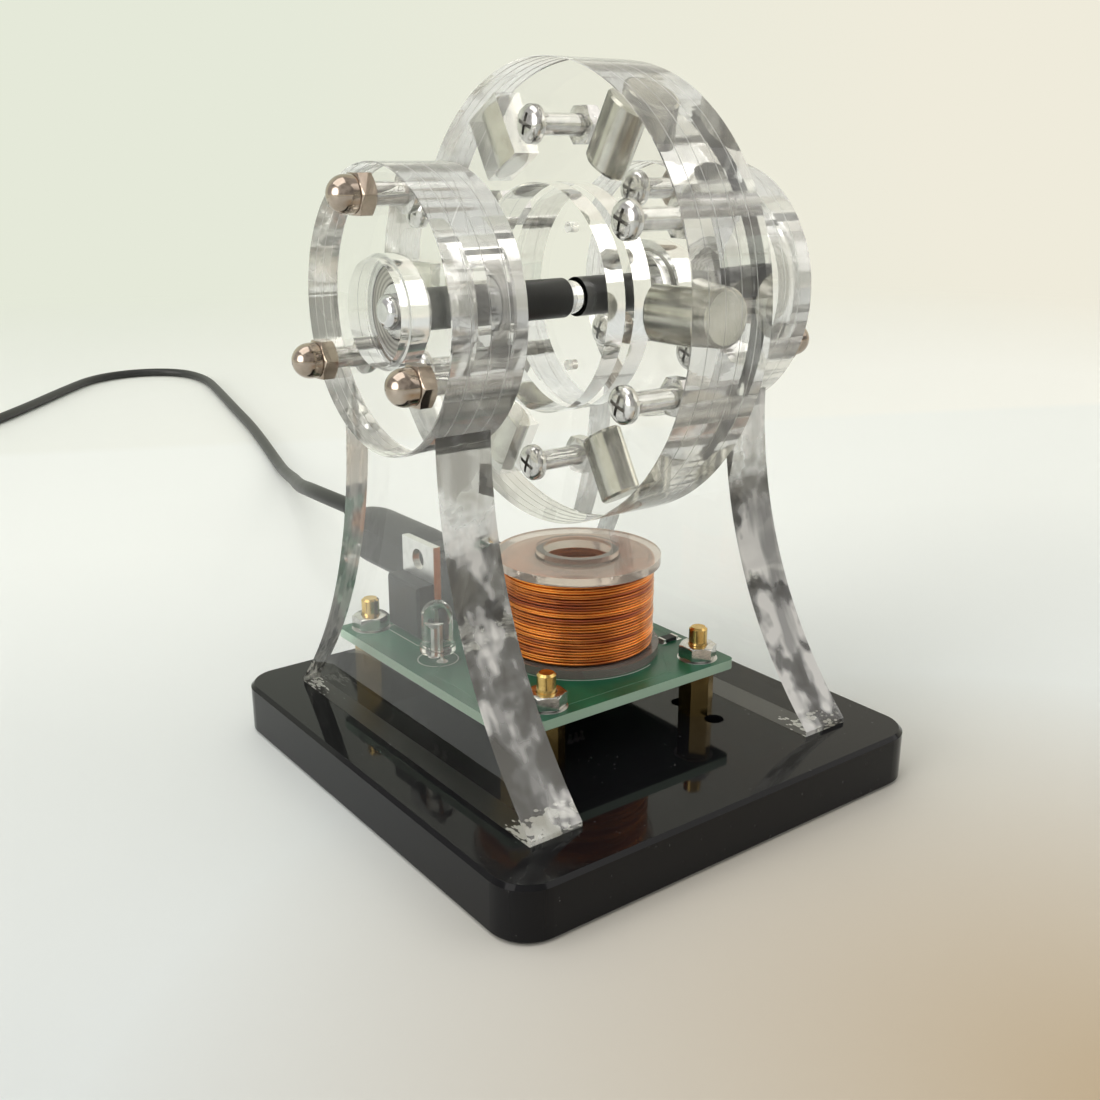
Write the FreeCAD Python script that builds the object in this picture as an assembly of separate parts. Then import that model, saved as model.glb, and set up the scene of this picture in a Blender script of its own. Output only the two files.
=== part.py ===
import FreeCAD, Part
import math
import os

# Demonstration electric motor on a black base plate, in millimetres.
# X runs along the rotor shaft, Y runs from the viewer to the back, Z is up.
# The origin is the middle of the base's underside.

V = FreeCAD.Vector
X_AXIS = V(1, 0, 0)
Y_AXIS = V(0, 1, 0)
Z_AXIS = V(0, 0, 1)

# Stock and general clearances
sheet_thickness = 3.0
overrun = 2.0
glue_gap = 0.05
press_gap = 0.02
running_gap = 0.05
screw_clearance = 0.15

# Base plate
base_side_margin = 8.3
base_width = 85.0
base_thickness = 8.8
base_corner_radius = 6.0
base_bevel = 0.6
spare_hole_radius = 1.6
spare_hole_depth = 5.0
spare_hole_pitch = 8.1
spare_hole_x = 15.6
spare_hole_y = -20.4

# Rotor's height over the coil, and the two stands that carry it
rotor_coil_gap = 6.2
stand_sheets = 3
foot_end_inset = 8.5
stand_neck_half_width = 12.8
foot_toe = 0.8

# Round bearing heads on the stands
head_radius = 20.0
head_sheets = 4
cover_hole_radius = 7.5
inner_cover_hole_radius = 6.4
head_screw_circle = 15.8
head_screw_count = 3
head_screw_first_angle = 90.0

# Ball bearings, 5 by 16 by 5
bearing_radius = 8.0
bearing_width = 5.0
outer_race_wall = 1.3
inner_race_wall = 1.3
ball_radius = 1.5
ball_count = 8
shield_thickness = 0.3
shield_gap = 0.2
shield_inset = 0.15
race_bevel = 0.25

# Rotor: five clear sheets round the shaft
shaft_radius = 2.5
shaft_tail = 2.1
shaft_end_dome = 1.2
sleeve_wall = 0.5
left_sleeve_hub_gap = 1.1
right_sleeve_hub_gap = 0.0
rotor_radius = 34.2
rotor_middle_x = 2.0
rotor_sheets = 5
window_wall = 5.0
balance_hole_radius = 0.8
balance_hole_circle = 10.4
magnet_count = 6
magnet_radius = 4.0
magnet_length = 10.0
magnet_rim_wall = 2.2
magnet_bevel = 0.4
slot_gap = 0.1
rotor_screw_inset = 9.2
rotor_screw_first_angle = 30.0

# M3 fasteners
screw_radius = 1.5
pan_head_radius = 2.8
pan_head_height = 2.0
pan_head_edge = 0.9
nut_flats = 5.5
nut_height = 2.4
dome_radius = 2.6
dome_nut_height = 6.0
thread_gap = 0.03
screw_tail = 1.2
countersunk_radius = 2.8
countersunk_depth = 1.65

# Board on four brass pillars
board_length = 40.0
board_width = 52.0
board_stand_gap = 2.7
board_thickness = 1.6
board_middle_y = 5.75
board_corner_radius = 1.2
pillar_height = 8.0
pillar_flats = 5.0
pillar_thread_depth = 5.0
pillar_side_inset = 4.5
pillar_near_inset = 4.25
pillar_far_inset = 3.55
pillar_stud_tail = 3.0
pillar_stud_bevel = 0.35
pillar_screw_reach = 4.0

# Coil on its bobbin
coil_x = 2.4
coil_y = -0.5
bobbin_height = 16.8
bobbin_flange_radius = 13.7
bobbin_flange = 1.4
bobbin_barrel_radius = 7.0
bobbin_bore_radius = 5.6
bobbin_lip_radius = 6.85
bobbin_lip_height = 0.8
coil_core_radius = 12.3
coil_end_gap = 0.25
coil_wire_radius = 0.3
coil_turns = 9

# Parts soldered to the board
lead_radius = 0.3
lead_hole_gap = 0.15
lead_tail = 1.4
transistor_width = 10.0
transistor_depth = 4.5
transistor_height = 9.2
transistor_side_inset = 6.8
transistor_far_inset = 10.55
transistor_rise = 0.8
transistor_pitch = 2.54
transistor_bevel = 0.4
tab_height = 6.4
tab_thickness = 1.3
tab_hole_radius = 1.8
led_radius = 2.5
led_flange_radius = 2.9
led_flange = 1.0
led_height = 8.6
led_rise = 1.6
led_coil_offset_x = -16.4
led_coil_offset_y = 9.4
led_pitch = 2.54
sensor_width = 4.1
sensor_depth = 1.6
sensor_height = 3.0
sensor_rise = 2.2
sensor_pitch = 1.27
resistor_length = 3.2
resistor_width = 1.6
resistor_height = 0.6
resistor_coil_offset_x = 14.2
resistor_coil_offset_y = -7.1

# Power socket at the back of the board, and its plug
jack_x = 2.0
jack_width = 9.0
jack_height = 11.0
jack_length = 14.4
jack_back_overhang = 2.4
jack_axis_rise = 6.5
jack_bore_radius = 3.1
jack_bore_depth = 10.4
jack_pin_radius = 1.0
jack_shoulder = 3.4
jack_bevel = 1.0
barrel_radius = 2.75
barrel_bore_radius = 1.3
barrel_length = 9.5
handle_radius = 5.6
handle_length = 29.0
handle_nose_radius = 4.6
handle_tail_radius = 4.2
handle_flat_share = 0.86
relief_length = 14.0
relief_root_radius = 3.6
relief_tip_radius = 2.4
relief_groove_count = 4
relief_groove_depth = 0.6

# Cord: its free stretch follows points chosen by hand, and the rest is a coil
cord_radius = 1.75
cord_route = [(2.1, 91.0, 24.5), (5.0, 105.0, 22.6), (10.5, 121.0, 19.0),
              (17.5, 138.0, 15.0), (25.0, 156.0, 11.0), (32.5, 176.0, 6.9),
              (39.5, 196.0, 3.6), (46.5, 217.0, 1.85), (54.0, 243.0, 1.85),
              (62.0, 272.0, 1.85), (70.0, 306.0, 1.85), (79.0, 343.0, 1.85),
              (87.0, 378.0, 1.85), (84.0, 402.0, 1.85), (67.0, 413.0, 1.85),
              (46.0, 408.0, 1.85), (27.0, 386.0, 1.85), (4.0, 357.0, 1.85),
              (-16.0, 334.0, 1.85), (-36.0, 315.0, 1.85), (-54.0, 301.0, 1.85)]
corner_share = 0.45
hank_turn_pitch = 4.1
hank_layer_pitch = 4.1
hank_inner_radius = 14.0
hank_turns_per_layer = 2
hank_climb_slope_share = 1.5
hank_lead_out = 24.0

# Connector at the far end of the cord
usb_body_length = 20.0
usb_body_width = 14.0
usb_body_height = 8.0
usb_corner_radius = 2.0
usb_axis_height = 4.2
usb_neck_length = 9.0
usb_neck_radius = 3.0
usb_neck_tip_radius = 2.1
usb_shell_length = 12.0
usb_shell_width = 12.0
usb_shell_height = 4.5
usb_shell_wall = 0.35
usb_tongue_height = 1.9


# Places and faces that follow from the sizes above
stand_thickness = stand_sheets * sheet_thickness
stand_middle_x = board_length / 2 + board_stand_gap + stand_thickness / 2
stand_foot_half = base_width / 2 - foot_end_inset
base_length = 2 * (stand_middle_x + stand_thickness / 2 + base_side_margin)
board_bottom = base_thickness + pillar_height
board_top = board_bottom + board_thickness
board_near_y = board_middle_y - board_width / 2
board_far_y = board_middle_y + board_width / 2
pillar_x = board_length / 2 - pillar_side_inset
pillar_near_y = board_near_y + pillar_near_inset
pillar_far_y = board_far_y - pillar_far_inset
transistor_x = transistor_side_inset - board_length / 2
transistor_y = board_far_y - transistor_far_inset
led_x = coil_x + led_coil_offset_x
led_y = coil_y + led_coil_offset_y
resistor_x = coil_x + resistor_coil_offset_x
resistor_y = coil_y + resistor_coil_offset_y
axis_height = board_top + bobbin_height + bobbin_lip_height + rotor_coil_gap + rotor_radius
shaft_half_length = stand_middle_x + bearing_width / 2 + shaft_tail
magnet_middle_radius = rotor_radius - magnet_rim_wall - magnet_length / 2
window_radius = magnet_middle_radius - magnet_length / 2 - window_wall
rotor_screw_circle = rotor_radius - rotor_screw_inset
head_half = head_sheets * sheet_thickness / 2
rotor_front_x = rotor_middle_x - rotor_sheets * sheet_thickness / 2
jack_back_y = board_far_y + jack_back_overhang
jack_axis_z = board_top + jack_axis_rise
handle_start_y = jack_back_y + glue_gap
relief_start_y = handle_start_y + handle_length
cord_start_y = relief_start_y + relief_length + glue_gap


def save(name, shape):
    shape.exportStep("parts/" + name + ".step")


def fused(shapes):
    first = shapes[0]
    if len(shapes) == 1:
        return first
    return first.multiFuse(shapes[1:]).removeSplitter()


def group(shapes):
    return Part.makeCompound(shapes)


def rod(start, direction, radius, length):
    return Part.makeCylinder(radius, length, start, direction)


def ring(start, direction, outer, inner, length):
    through = start - direction * overrun
    return rod(start, direction, outer, length).cut(
        rod(through, direction, inner, length + 2 * overrun))


def on_circle(x, radius, degrees):
    angle = math.radians(degrees)
    return V(x, radius * math.cos(angle), axis_height + radius * math.sin(angle))


def placed(shape, point, direction):
    """Moves a shape that was made along +X from the origin."""
    copy = shape.copy()
    copy.Placement = FreeCAD.Placement(point, FreeCAD.Rotation(X_AXIS, direction))
    return copy


def turned(edges):
    """Revolves a closed half profile, drawn in the XY plane, about the X axis."""
    return Part.Face(Part.Wire(edges)).revolve(V(0, 0, 0), X_AXIS, 360)


def outline(points):
    return [Part.LineSegment(V(*a), V(*b)).toShape()
            for a, b in zip(points, points[1:] + points[:1])]


def hexagon(flats, length):
    corner = flats / math.sqrt(3)
    points = [V(0, corner * math.cos(math.radians(60 * k)), corner * math.sin(math.radians(60 * k)))
              for k in range(7)]
    return Part.Face(Part.makePolygon(points)).extrude(V(length, 0, 0))


def rounded_plate(length, width, thickness, radius):
    plate = Part.makeBox(length, width, thickness, V(-length / 2, -width / 2, 0))
    upright = [e for e in plate.Edges if abs(e.tangentAt(e.FirstParameter).z) > 0.5]
    return plate.makeFillet(radius, upright)


# Smooth paths made of arcs, for wire and cord

def arc_edge(start, tangent, end):
    """The arc that leaves start along tangent and arrives at end."""
    chord = end - start
    unit = chord * (1 / chord.Length)
    across = tangent - unit * tangent.dot(unit)
    if across.Length < 1e-6:
        return Part.LineSegment(start, end).toShape()
    half_turn = math.acos(max(-1, min(1, tangent.dot(unit) / tangent.Length)))
    bulge = chord.Length / 2 * math.tan(half_turn / 2)
    middle = (start + end) * 0.5 + across * (bulge / across.Length)
    return Part.Arc(start, middle, end).toShape()


def biarc(start, start_tangent, end, end_tangent):
    """Two tangent arcs between two points with unit tangents."""
    gap = end - start
    both = start_tangent + end_tangent
    bend = 2 * (start_tangent.dot(end_tangent) - 1)
    along = gap.dot(both)
    if abs(bend) < 1e-9:
        reach = gap.dot(gap) / (2 * along)
    else:
        reach = (along - math.sqrt(along ** 2 - bend * gap.dot(gap))) / bend
    joint = (start + start_tangent * reach + end - end_tangent * reach) * 0.5
    first = arc_edge(start, start_tangent, joint)
    return [first, arc_edge(joint, first.tangentAt(first.LastParameter), end)]


def tube(edges, radius):
    wire = Part.Wire(edges)
    start = edges[0].valueAt(edges[0].FirstParameter)
    tangent = edges[0].tangentAt(edges[0].FirstParameter)
    section = Part.Wire([Part.makeCircle(radius, start, tangent)])
    return wire.makePipeShell([section], True, False)


def through(nodes):
    """Biarcs through a list of (point, unit tangent) pairs."""
    edges = []
    for (a, ta), (b, tb) in zip(nodes, nodes[1:]):
        edges += biarc(a, ta, b, tb)
    return edges


def least_self_gap(edges, radius, lap):
    """Least gap between stretches of one tube that are more than lap apart along it."""
    points = []
    travelled = 0
    for edge in edges:
        for k in range(6):
            share = k / 6
            spot = edge.FirstParameter + share * (edge.LastParameter - edge.FirstParameter)
            points.append((travelled + share * edge.Length, edge.valueAt(spot)))
        travelled += edge.Length
    least = min((p - q).Length for i, (s, p) in enumerate(points)
                for t, q in points[i + 1:] if t - s > lap)
    return least - 2 * radius


# Base and stands

def pillar_places():
    return [(x, y) for x in (-pillar_x, pillar_x) for y in (pillar_near_y, pillar_far_y)]


def base_plate():
    plate = rounded_plate(base_length, base_width, base_thickness, base_corner_radius)
    rims = [e for e in plate.Edges if abs(e.tangentAt(e.FirstParameter).z) < 0.5]
    plate = plate.makeChamfer(base_bevel, rims)
    hole = screw_radius + screw_clearance
    for x, y in pillar_places():
        plate = plate.cut(rod(V(x, y, -overrun), Z_AXIS, hole, base_thickness + 2 * overrun))
        sink = countersunk_depth + screw_clearance
        cone = Part.makeCone(countersunk_radius + screw_clearance, hole, sink, V(x, y, 0), Z_AXIS)
        plate = plate.cut(cone)
    for k in range(2):
        spot = V(spare_hole_x, spare_hole_y + k * spare_hole_pitch, base_thickness - spare_hole_depth)
        plate = plate.cut(rod(spot, Z_AXIS, spare_hole_radius, spare_hole_depth + overrun))
    return plate


def stand(side):
    """Clear plate with hollow sides and a round cradle for its bearing head."""
    cradle = head_radius + glue_gap
    tip_z = axis_height - math.sqrt(cradle ** 2 - stand_neck_half_width ** 2)
    toe_z = base_thickness + foot_toe
    flare = stand_foot_half - stand_neck_half_width
    rise = tip_z - toe_z
    sweep_radius = (flare ** 2 + rise ** 2) / (2 * flare)
    half = math.asin(rise / sweep_radius) / 2
    mid_y = stand_neck_half_width + sweep_radius * (1 - math.cos(half))
    mid_z = tip_z - sweep_radius * math.sin(half)
    x = side * stand_middle_x - stand_thickness / 2

    def spot(y, z):
        return V(x, y, z)

    edges = [Part.LineSegment(spot(-stand_foot_half, base_thickness),
                              spot(stand_foot_half, base_thickness)).toShape(),
             Part.LineSegment(spot(stand_foot_half, base_thickness),
                              spot(stand_foot_half, toe_z)).toShape(),
             Part.Arc(spot(stand_foot_half, toe_z), spot(mid_y, mid_z),
                      spot(stand_neck_half_width, tip_z)).toShape(),
             Part.Arc(spot(stand_neck_half_width, tip_z), spot(0, axis_height - cradle),
                      spot(-stand_neck_half_width, tip_z)).toShape(),
             Part.Arc(spot(-stand_neck_half_width, tip_z), spot(-mid_y, mid_z),
                      spot(-stand_foot_half, toe_z)).toShape(),
             Part.LineSegment(spot(-stand_foot_half, toe_z),
                              spot(-stand_foot_half, base_thickness)).toShape()]
    return Part.Face(Part.Wire(edges)).extrude(V(stand_thickness, 0, 0))


# Bearing heads

def head_screw_angles():
    return [head_screw_first_angle + k * 360 / head_screw_count for k in range(head_screw_count)]


def head_sheet(side, place, hole_radius):
    """One disc of a head; place 0 faces the rotor."""
    x = side * stand_middle_x - head_half + place * sheet_thickness
    if side < 0:
        x = side * stand_middle_x + head_half - (place + 1) * sheet_thickness
    disc = ring(V(x, 0, axis_height), X_AXIS, head_radius, hole_radius, sheet_thickness)
    deep = sheet_thickness + 2 * overrun
    for angle in head_screw_angles():
        spot = on_circle(x - overrun, head_screw_circle, angle)
        disc = disc.cut(rod(spot, X_AXIS, screw_radius + screw_clearance, deep))
    return disc


def outer_race(side):
    start = V(side * stand_middle_x - bearing_width / 2, 0, axis_height)
    race = ring(start, X_AXIS, bearing_radius, bearing_radius - outer_race_wall, bearing_width)
    return race.cut(ball_track(side))


def inner_race(side):
    start = V(side * stand_middle_x - bearing_width / 2, 0, axis_height)
    outer = shaft_radius + inner_race_wall
    race = ring(start, X_AXIS, outer, shaft_radius + press_gap, bearing_width)
    return race.cut(ball_track(side))


def ball_circle():
    return (bearing_radius - outer_race_wall + shaft_radius + inner_race_wall) / 2


def ball_track(side):
    middle = V(side * stand_middle_x, 0, axis_height)
    return Part.makeTorus(ball_circle(), ball_radius + running_gap, middle, X_AXIS)


def balls(side):
    return group([Part.makeSphere(ball_radius, on_circle(side * stand_middle_x, ball_circle(),
                                                         k * 360 / ball_count))
                  for k in range(ball_count)])


def shields(side):
    outer = bearing_radius - outer_race_wall - press_gap
    inner = shaft_radius + inner_race_wall + shield_gap
    far = bearing_width / 2 - shield_inset
    return group([ring(V(side * stand_middle_x + x, 0, axis_height), X_AXIS, outer, inner,
                       shield_thickness)
                  for x in (-far, far - shield_thickness)])


# Fasteners, each made along +X with its bearing face at the origin

def pan_head():
    head = rod(V(-pan_head_height, 0, 0), X_AXIS, pan_head_radius, pan_head_height)
    rim = [e for e in head.Edges if e.Closed and e.BoundBox.XMax < -pan_head_edge]
    return head.makeChamfer(pan_head_height - pan_head_edge, rim)


def pan_screw(length):
    return fused([pan_head(), rod(V(0, 0, 0), X_AXIS, screw_radius, length)])


def hex_nut(flats, height):
    bore = rod(V(-overrun, 0, 0), X_AXIS, screw_radius + thread_gap, height + 2 * overrun)
    return hexagon(flats, height).cut(bore)


def dome_nut():
    straight = dome_nut_height - dome_radius
    edges = [Part.LineSegment(V(0, 0, 0), V(0, dome_radius, 0)).toShape(),
             Part.LineSegment(V(0, dome_radius, 0), V(straight, dome_radius, 0)).toShape(),
             Part.Arc(V(straight, dome_radius, 0),
                      V(straight + dome_radius * math.sin(math.radians(45)),
                        dome_radius * math.cos(math.radians(45)), 0),
                      V(dome_nut_height, 0, 0)).toShape(),
             Part.LineSegment(V(dome_nut_height, 0, 0), V(0, 0, 0)).toShape()]
    nut = fused([hex_nut(nut_flats, nut_height), turned(edges)])
    depth = nut_height + screw_tail + thread_gap
    return nut.cut(rod(V(-overrun, 0, 0), X_AXIS, screw_radius + thread_gap, depth + overrun))


def head_screws(side):
    inner_x = side * (stand_middle_x - head_half)
    screw = pan_screw(head_sheets * sheet_thickness + nut_height + screw_tail)
    return group([placed(screw, on_circle(inner_x, head_screw_circle, angle), X_AXIS * side)
                  for angle in head_screw_angles()])


def head_nuts(side):
    outer_x = side * (stand_middle_x + head_half)
    nut = dome_nut()
    return group([placed(nut, on_circle(outer_x, head_screw_circle, angle), X_AXIS * side)
                  for angle in head_screw_angles()])


# Rotor

def rotor_screw_angles():
    return [rotor_screw_first_angle + k * 360 / magnet_count for k in range(magnet_count)]


def rotor_sheet(place):
    """One disc of the rotor: the middle one is the hub, and the outer two have no slots."""
    is_hub = place == rotor_sheets // 2
    x = rotor_front_x + place * sheet_thickness
    start = V(x - overrun, 0, axis_height)
    deep = sheet_thickness + 2 * overrun
    hole_radius = shaft_radius + press_gap if is_hub else window_radius
    disc = ring(V(x, 0, axis_height), X_AXIS, rotor_radius, hole_radius, sheet_thickness)
    for angle in rotor_screw_angles():
        spot = on_circle(start.x, rotor_screw_circle, angle)
        disc = disc.cut(rod(spot, X_AXIS, screw_radius + screw_clearance, deep))
    if 0 < place < rotor_sheets - 1:
        slot_length = magnet_length + 2 * slot_gap
        slot_width = 2 * (magnet_radius + slot_gap)
        slot = Part.makeBox(deep, slot_length, slot_width,
                            V(0, magnet_middle_radius - slot_length / 2, -slot_width / 2))
        for k in range(magnet_count):
            turn = slot.rotated(V(0, 0, 0), X_AXIS, k * 360 / magnet_count)
            disc = disc.cut(turn.translated(start))
    if is_hub:
        for angle in (90, 270):
            spot = on_circle(start.x, balance_hole_circle, angle)
            disc = disc.cut(rod(spot, X_AXIS, balance_hole_radius, deep))
    return disc


def magnets():
    pieces = []
    for k in range(magnet_count):
        angle = k * 360 / magnet_count
        outward = on_circle(0, 1, angle) - V(0, 0, axis_height)
        start = on_circle(rotor_middle_x, magnet_middle_radius - magnet_length / 2, angle)
        piece = rod(start, outward, magnet_radius, magnet_length)
        ends = [e for e in piece.Edges if e.Closed]
        pieces.append(piece.makeChamfer(magnet_bevel, ends))
    return group(pieces)


def rotor_screws():
    screw = pan_screw(rotor_sheets * sheet_thickness + nut_height + screw_tail)
    return group([placed(screw, on_circle(rotor_front_x, rotor_screw_circle, angle), X_AXIS)
                  for angle in rotor_screw_angles()])


def rotor_nuts():
    back_x = rotor_front_x + rotor_sheets * sheet_thickness
    nut = hex_nut(nut_flats, nut_height)
    return group([placed(nut, on_circle(back_x, rotor_screw_circle, angle), X_AXIS)
                  for angle in rotor_screw_angles()])


def shaft():
    bar = rod(V(-shaft_half_length, 0, axis_height), X_AXIS, shaft_radius, 2 * shaft_half_length)
    return bar.makeFillet(shaft_end_dome, [e for e in bar.Edges if e.Closed])


def shaft_sleeve(side):
    """Black tube on the shaft between the hub and the inner face of a head."""
    gap = left_sleeve_hub_gap if side < 0 else right_sleeve_hub_gap
    hub_end = rotor_middle_x + side * (sheet_thickness / 2 + gap)
    head_end = side * (stand_middle_x - head_half)
    start = min(hub_end, head_end)
    return ring(V(start, 0, axis_height), X_AXIS, shaft_radius + sleeve_wall,
                shaft_radius + press_gap, abs(head_end - hub_end))


# Board, pillars and the parts on the board

def pillars():
    bore = screw_radius + thread_gap
    pieces = []
    for x, y in pillar_places():
        foot = V(x, y, base_thickness)
        body = placed(hexagon(pillar_flats, pillar_height), foot, Z_AXIS)
        body = body.cut(rod(foot - Z_AXIS * overrun, Z_AXIS, bore, pillar_thread_depth + overrun))
        stud = rod(V(x, y, board_bottom), Z_AXIS, screw_radius,
                   board_thickness + nut_height + pillar_stud_tail)
        rim = [e for e in stud.Edges if e.Closed and e.BoundBox.ZMin > board_top]
        pieces.append(fused([body, stud.makeChamfer(pillar_stud_bevel, rim)]))
    return group(pieces)


def pillar_nuts():
    nut = hex_nut(nut_flats, nut_height)
    return group([placed(nut, V(x, y, board_top), Z_AXIS) for x, y in pillar_places()])


def base_screws():
    pieces = []
    for x, y in pillar_places():
        cone = Part.makeCone(countersunk_radius, screw_radius, countersunk_depth,
                             V(x, y, screw_clearance), Z_AXIS)
        shank = rod(V(x, y, screw_clearance), Z_AXIS, screw_radius,
                    base_thickness + pillar_screw_reach - screw_clearance)
        pieces.append(fused([cone, shank]))
    return group(pieces)


def transistor_leads_at():
    back = transistor_x + transistor_depth - tab_thickness
    return [(back - lead_radius, transistor_y + k * transistor_pitch) for k in (-1, 0, 1)]


def led_leads_at():
    return [(led_x, led_y + k * led_pitch / 2) for k in (-1, 1)]


def sensor_leads_at():
    return [(coil_x + k * sensor_pitch, coil_y) for k in (-1, 0, 1)]


def leads(places, rise):
    bottom = board_bottom - lead_tail
    return group([rod(V(x, y, bottom), Z_AXIS, lead_radius, board_top + rise - bottom)
                  for x, y in places])


def circuit_board():
    board = rounded_plate(board_length, board_width, board_thickness, board_corner_radius)
    board = board.translated(V(0, board_middle_y, board_bottom))
    deep = board_thickness + 2 * overrun
    for x, y in pillar_places():
        board = board.cut(rod(V(x, y, board_bottom - overrun), Z_AXIS,
                              screw_radius + screw_clearance, deep))
    for x, y in transistor_leads_at() + led_leads_at() + sensor_leads_at():
        board = board.cut(rod(V(x, y, board_bottom - overrun), Z_AXIS,
                              lead_radius + lead_hole_gap, deep))
    return board


def coil_bobbin():
    top = bobbin_height
    profile = [(0, bobbin_bore_radius, 0), (0, bobbin_flange_radius, 0),
               (bobbin_flange, bobbin_flange_radius, 0), (bobbin_flange, bobbin_barrel_radius, 0),
               (top - bobbin_flange, bobbin_barrel_radius, 0),
               (top - bobbin_flange, bobbin_flange_radius, 0), (top, bobbin_flange_radius, 0),
               (top, bobbin_lip_radius, 0), (top + bobbin_lip_height, bobbin_lip_radius, 0),
               (top + bobbin_lip_height, bobbin_bore_radius, 0)]
    return placed(turned(outline(profile)), V(coil_x, coil_y, board_top), Z_AXIS)


def coil_inner_layers():
    bottom = board_top + bobbin_flange + glue_gap
    height = bobbin_height - 2 * bobbin_flange - 2 * glue_gap
    return ring(V(coil_x, coil_y, bottom), Z_AXIS, coil_core_radius,
                bobbin_barrel_radius + glue_gap, height)


def coil_outer_layer():
    """The outer layer of wire: one helix, with its ends run straight."""
    low = board_top + bobbin_flange + coil_end_gap + coil_wire_radius
    high = board_top + bobbin_height - bobbin_flange - coil_end_gap - coil_wire_radius
    pitch = (high - low) / coil_turns
    radius = coil_core_radius + glue_gap + coil_wire_radius
    slope = pitch / (2 * math.pi * radius)
    level = 1 / math.sqrt(1 + slope ** 2)
    nodes = []
    for k in range(2 * coil_turns + 1):
        angle = k * math.pi
        point = V(coil_x + radius * math.cos(angle), coil_y + radius * math.sin(angle),
                  low + k * pitch / 2)
        tangent = V(-level * math.sin(angle), level * math.cos(angle), level * slope)
        nodes.append((point, tangent))
    lead = 2 * coil_wire_radius
    first, last = nodes[0], nodes[-1]
    edges = [Part.LineSegment(first[0] - first[1] * lead, first[0]).toShape()]
    edges += through(nodes)
    edges.append(Part.LineSegment(last[0], last[0] + last[1] * lead).toShape())
    print("coil outer layer: least gap %.2f mm" % least_self_gap(edges, coil_wire_radius, radius))
    return tube(edges, coil_wire_radius)


def transistor_body():
    body = Part.makeBox(transistor_depth, transistor_width, transistor_height,
                        V(transistor_x, transistor_y - transistor_width / 2,
                          board_top + transistor_rise))
    front = [e for e in body.Edges if e.BoundBox.XMax < transistor_x + glue_gap]
    body = body.makeChamfer(transistor_bevel, front)
    return body.cut(tab_blank(overrun))


def tab_blank(extra):
    """Space of the metal tab, which is let into the back of the body."""
    return Part.makeBox(tab_thickness + extra, transistor_width + 2 * extra,
                        transistor_height + tab_height + extra,
                        V(transistor_x + transistor_depth - tab_thickness,
                          transistor_y - transistor_width / 2 - extra,
                          board_top + transistor_rise))


def transistor_tab():
    tab = tab_blank(0)
    centre_z = board_top + transistor_rise + transistor_height + tab_height / 2
    start = V(transistor_x, transistor_y, centre_z)
    return tab.cut(rod(start, X_AXIS, tab_hole_radius, transistor_depth + overrun))


def led_lens():
    straight = led_height - led_radius
    edges = outline([(0, 0, 0), (0, led_flange_radius, 0), (led_flange, led_flange_radius, 0),
                     (led_flange, led_radius, 0), (straight, led_radius, 0), (straight, 0, 0)])
    body = turned(edges)
    dome = Part.makeSphere(led_radius, V(straight, 0, 0))
    lens = fused([body, dome])
    return placed(lens, V(led_x, led_y, board_top + led_rise), Z_AXIS)


def hall_sensor():
    low = board_top + sensor_rise
    body = Part.makeBox(sensor_width, sensor_depth, sensor_height,
                        V(coil_x - sensor_width / 2, coil_y - sensor_depth / 2, low))
    back = [e for e in body.Edges if abs(e.tangentAt(e.FirstParameter).z) > 0.5
            and e.BoundBox.YMin > coil_y]
    return body.makeChamfer(sensor_depth / 3, back)


def chip_resistor():
    return Part.makeBox(resistor_length, resistor_width, resistor_height,
                        V(resistor_x - resistor_length / 2, resistor_y - resistor_width / 2,
                          board_top))


# Power socket, plug and cord

def power_socket():
    front_y = jack_back_y - jack_length
    block = Part.makeBox(jack_width, jack_length, jack_height,
                         V(jack_x - jack_width / 2, front_y, board_top))
    tops = [e for e in block.Edges if e.BoundBox.ZMin > board_top + jack_height / 2
            and abs(e.tangentAt(e.FirstParameter).y) > 0.5]
    block = block.makeFillet(jack_bevel, tops)
    step = Part.makeBox(jack_width + 2 * overrun, jack_length - jack_shoulder, jack_height,
                        V(jack_x - jack_width / 2 - overrun, front_y - overrun,
                          jack_axis_z + jack_bore_radius + jack_bevel))
    block = block.cut(step)
    mouth = V(jack_x, jack_back_y - jack_bore_depth, jack_axis_z)
    block = block.cut(rod(mouth, Y_AXIS, jack_bore_radius, jack_bore_depth + overrun))
    return block


def socket_pin():
    foot = V(jack_x, jack_back_y - jack_bore_depth, jack_axis_z)
    return rod(foot, Y_AXIS, jack_pin_radius, jack_bore_depth - jack_bevel)


def plug_barrel():
    start = V(jack_x, handle_start_y, jack_axis_z)
    barrel = rod(start, Y_AXIS * -1, barrel_radius, barrel_length)
    return barrel.cut(rod(start + Y_AXIS * glue_gap, Y_AXIS * -1, barrel_bore_radius,
                          barrel_length + overrun))


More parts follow.
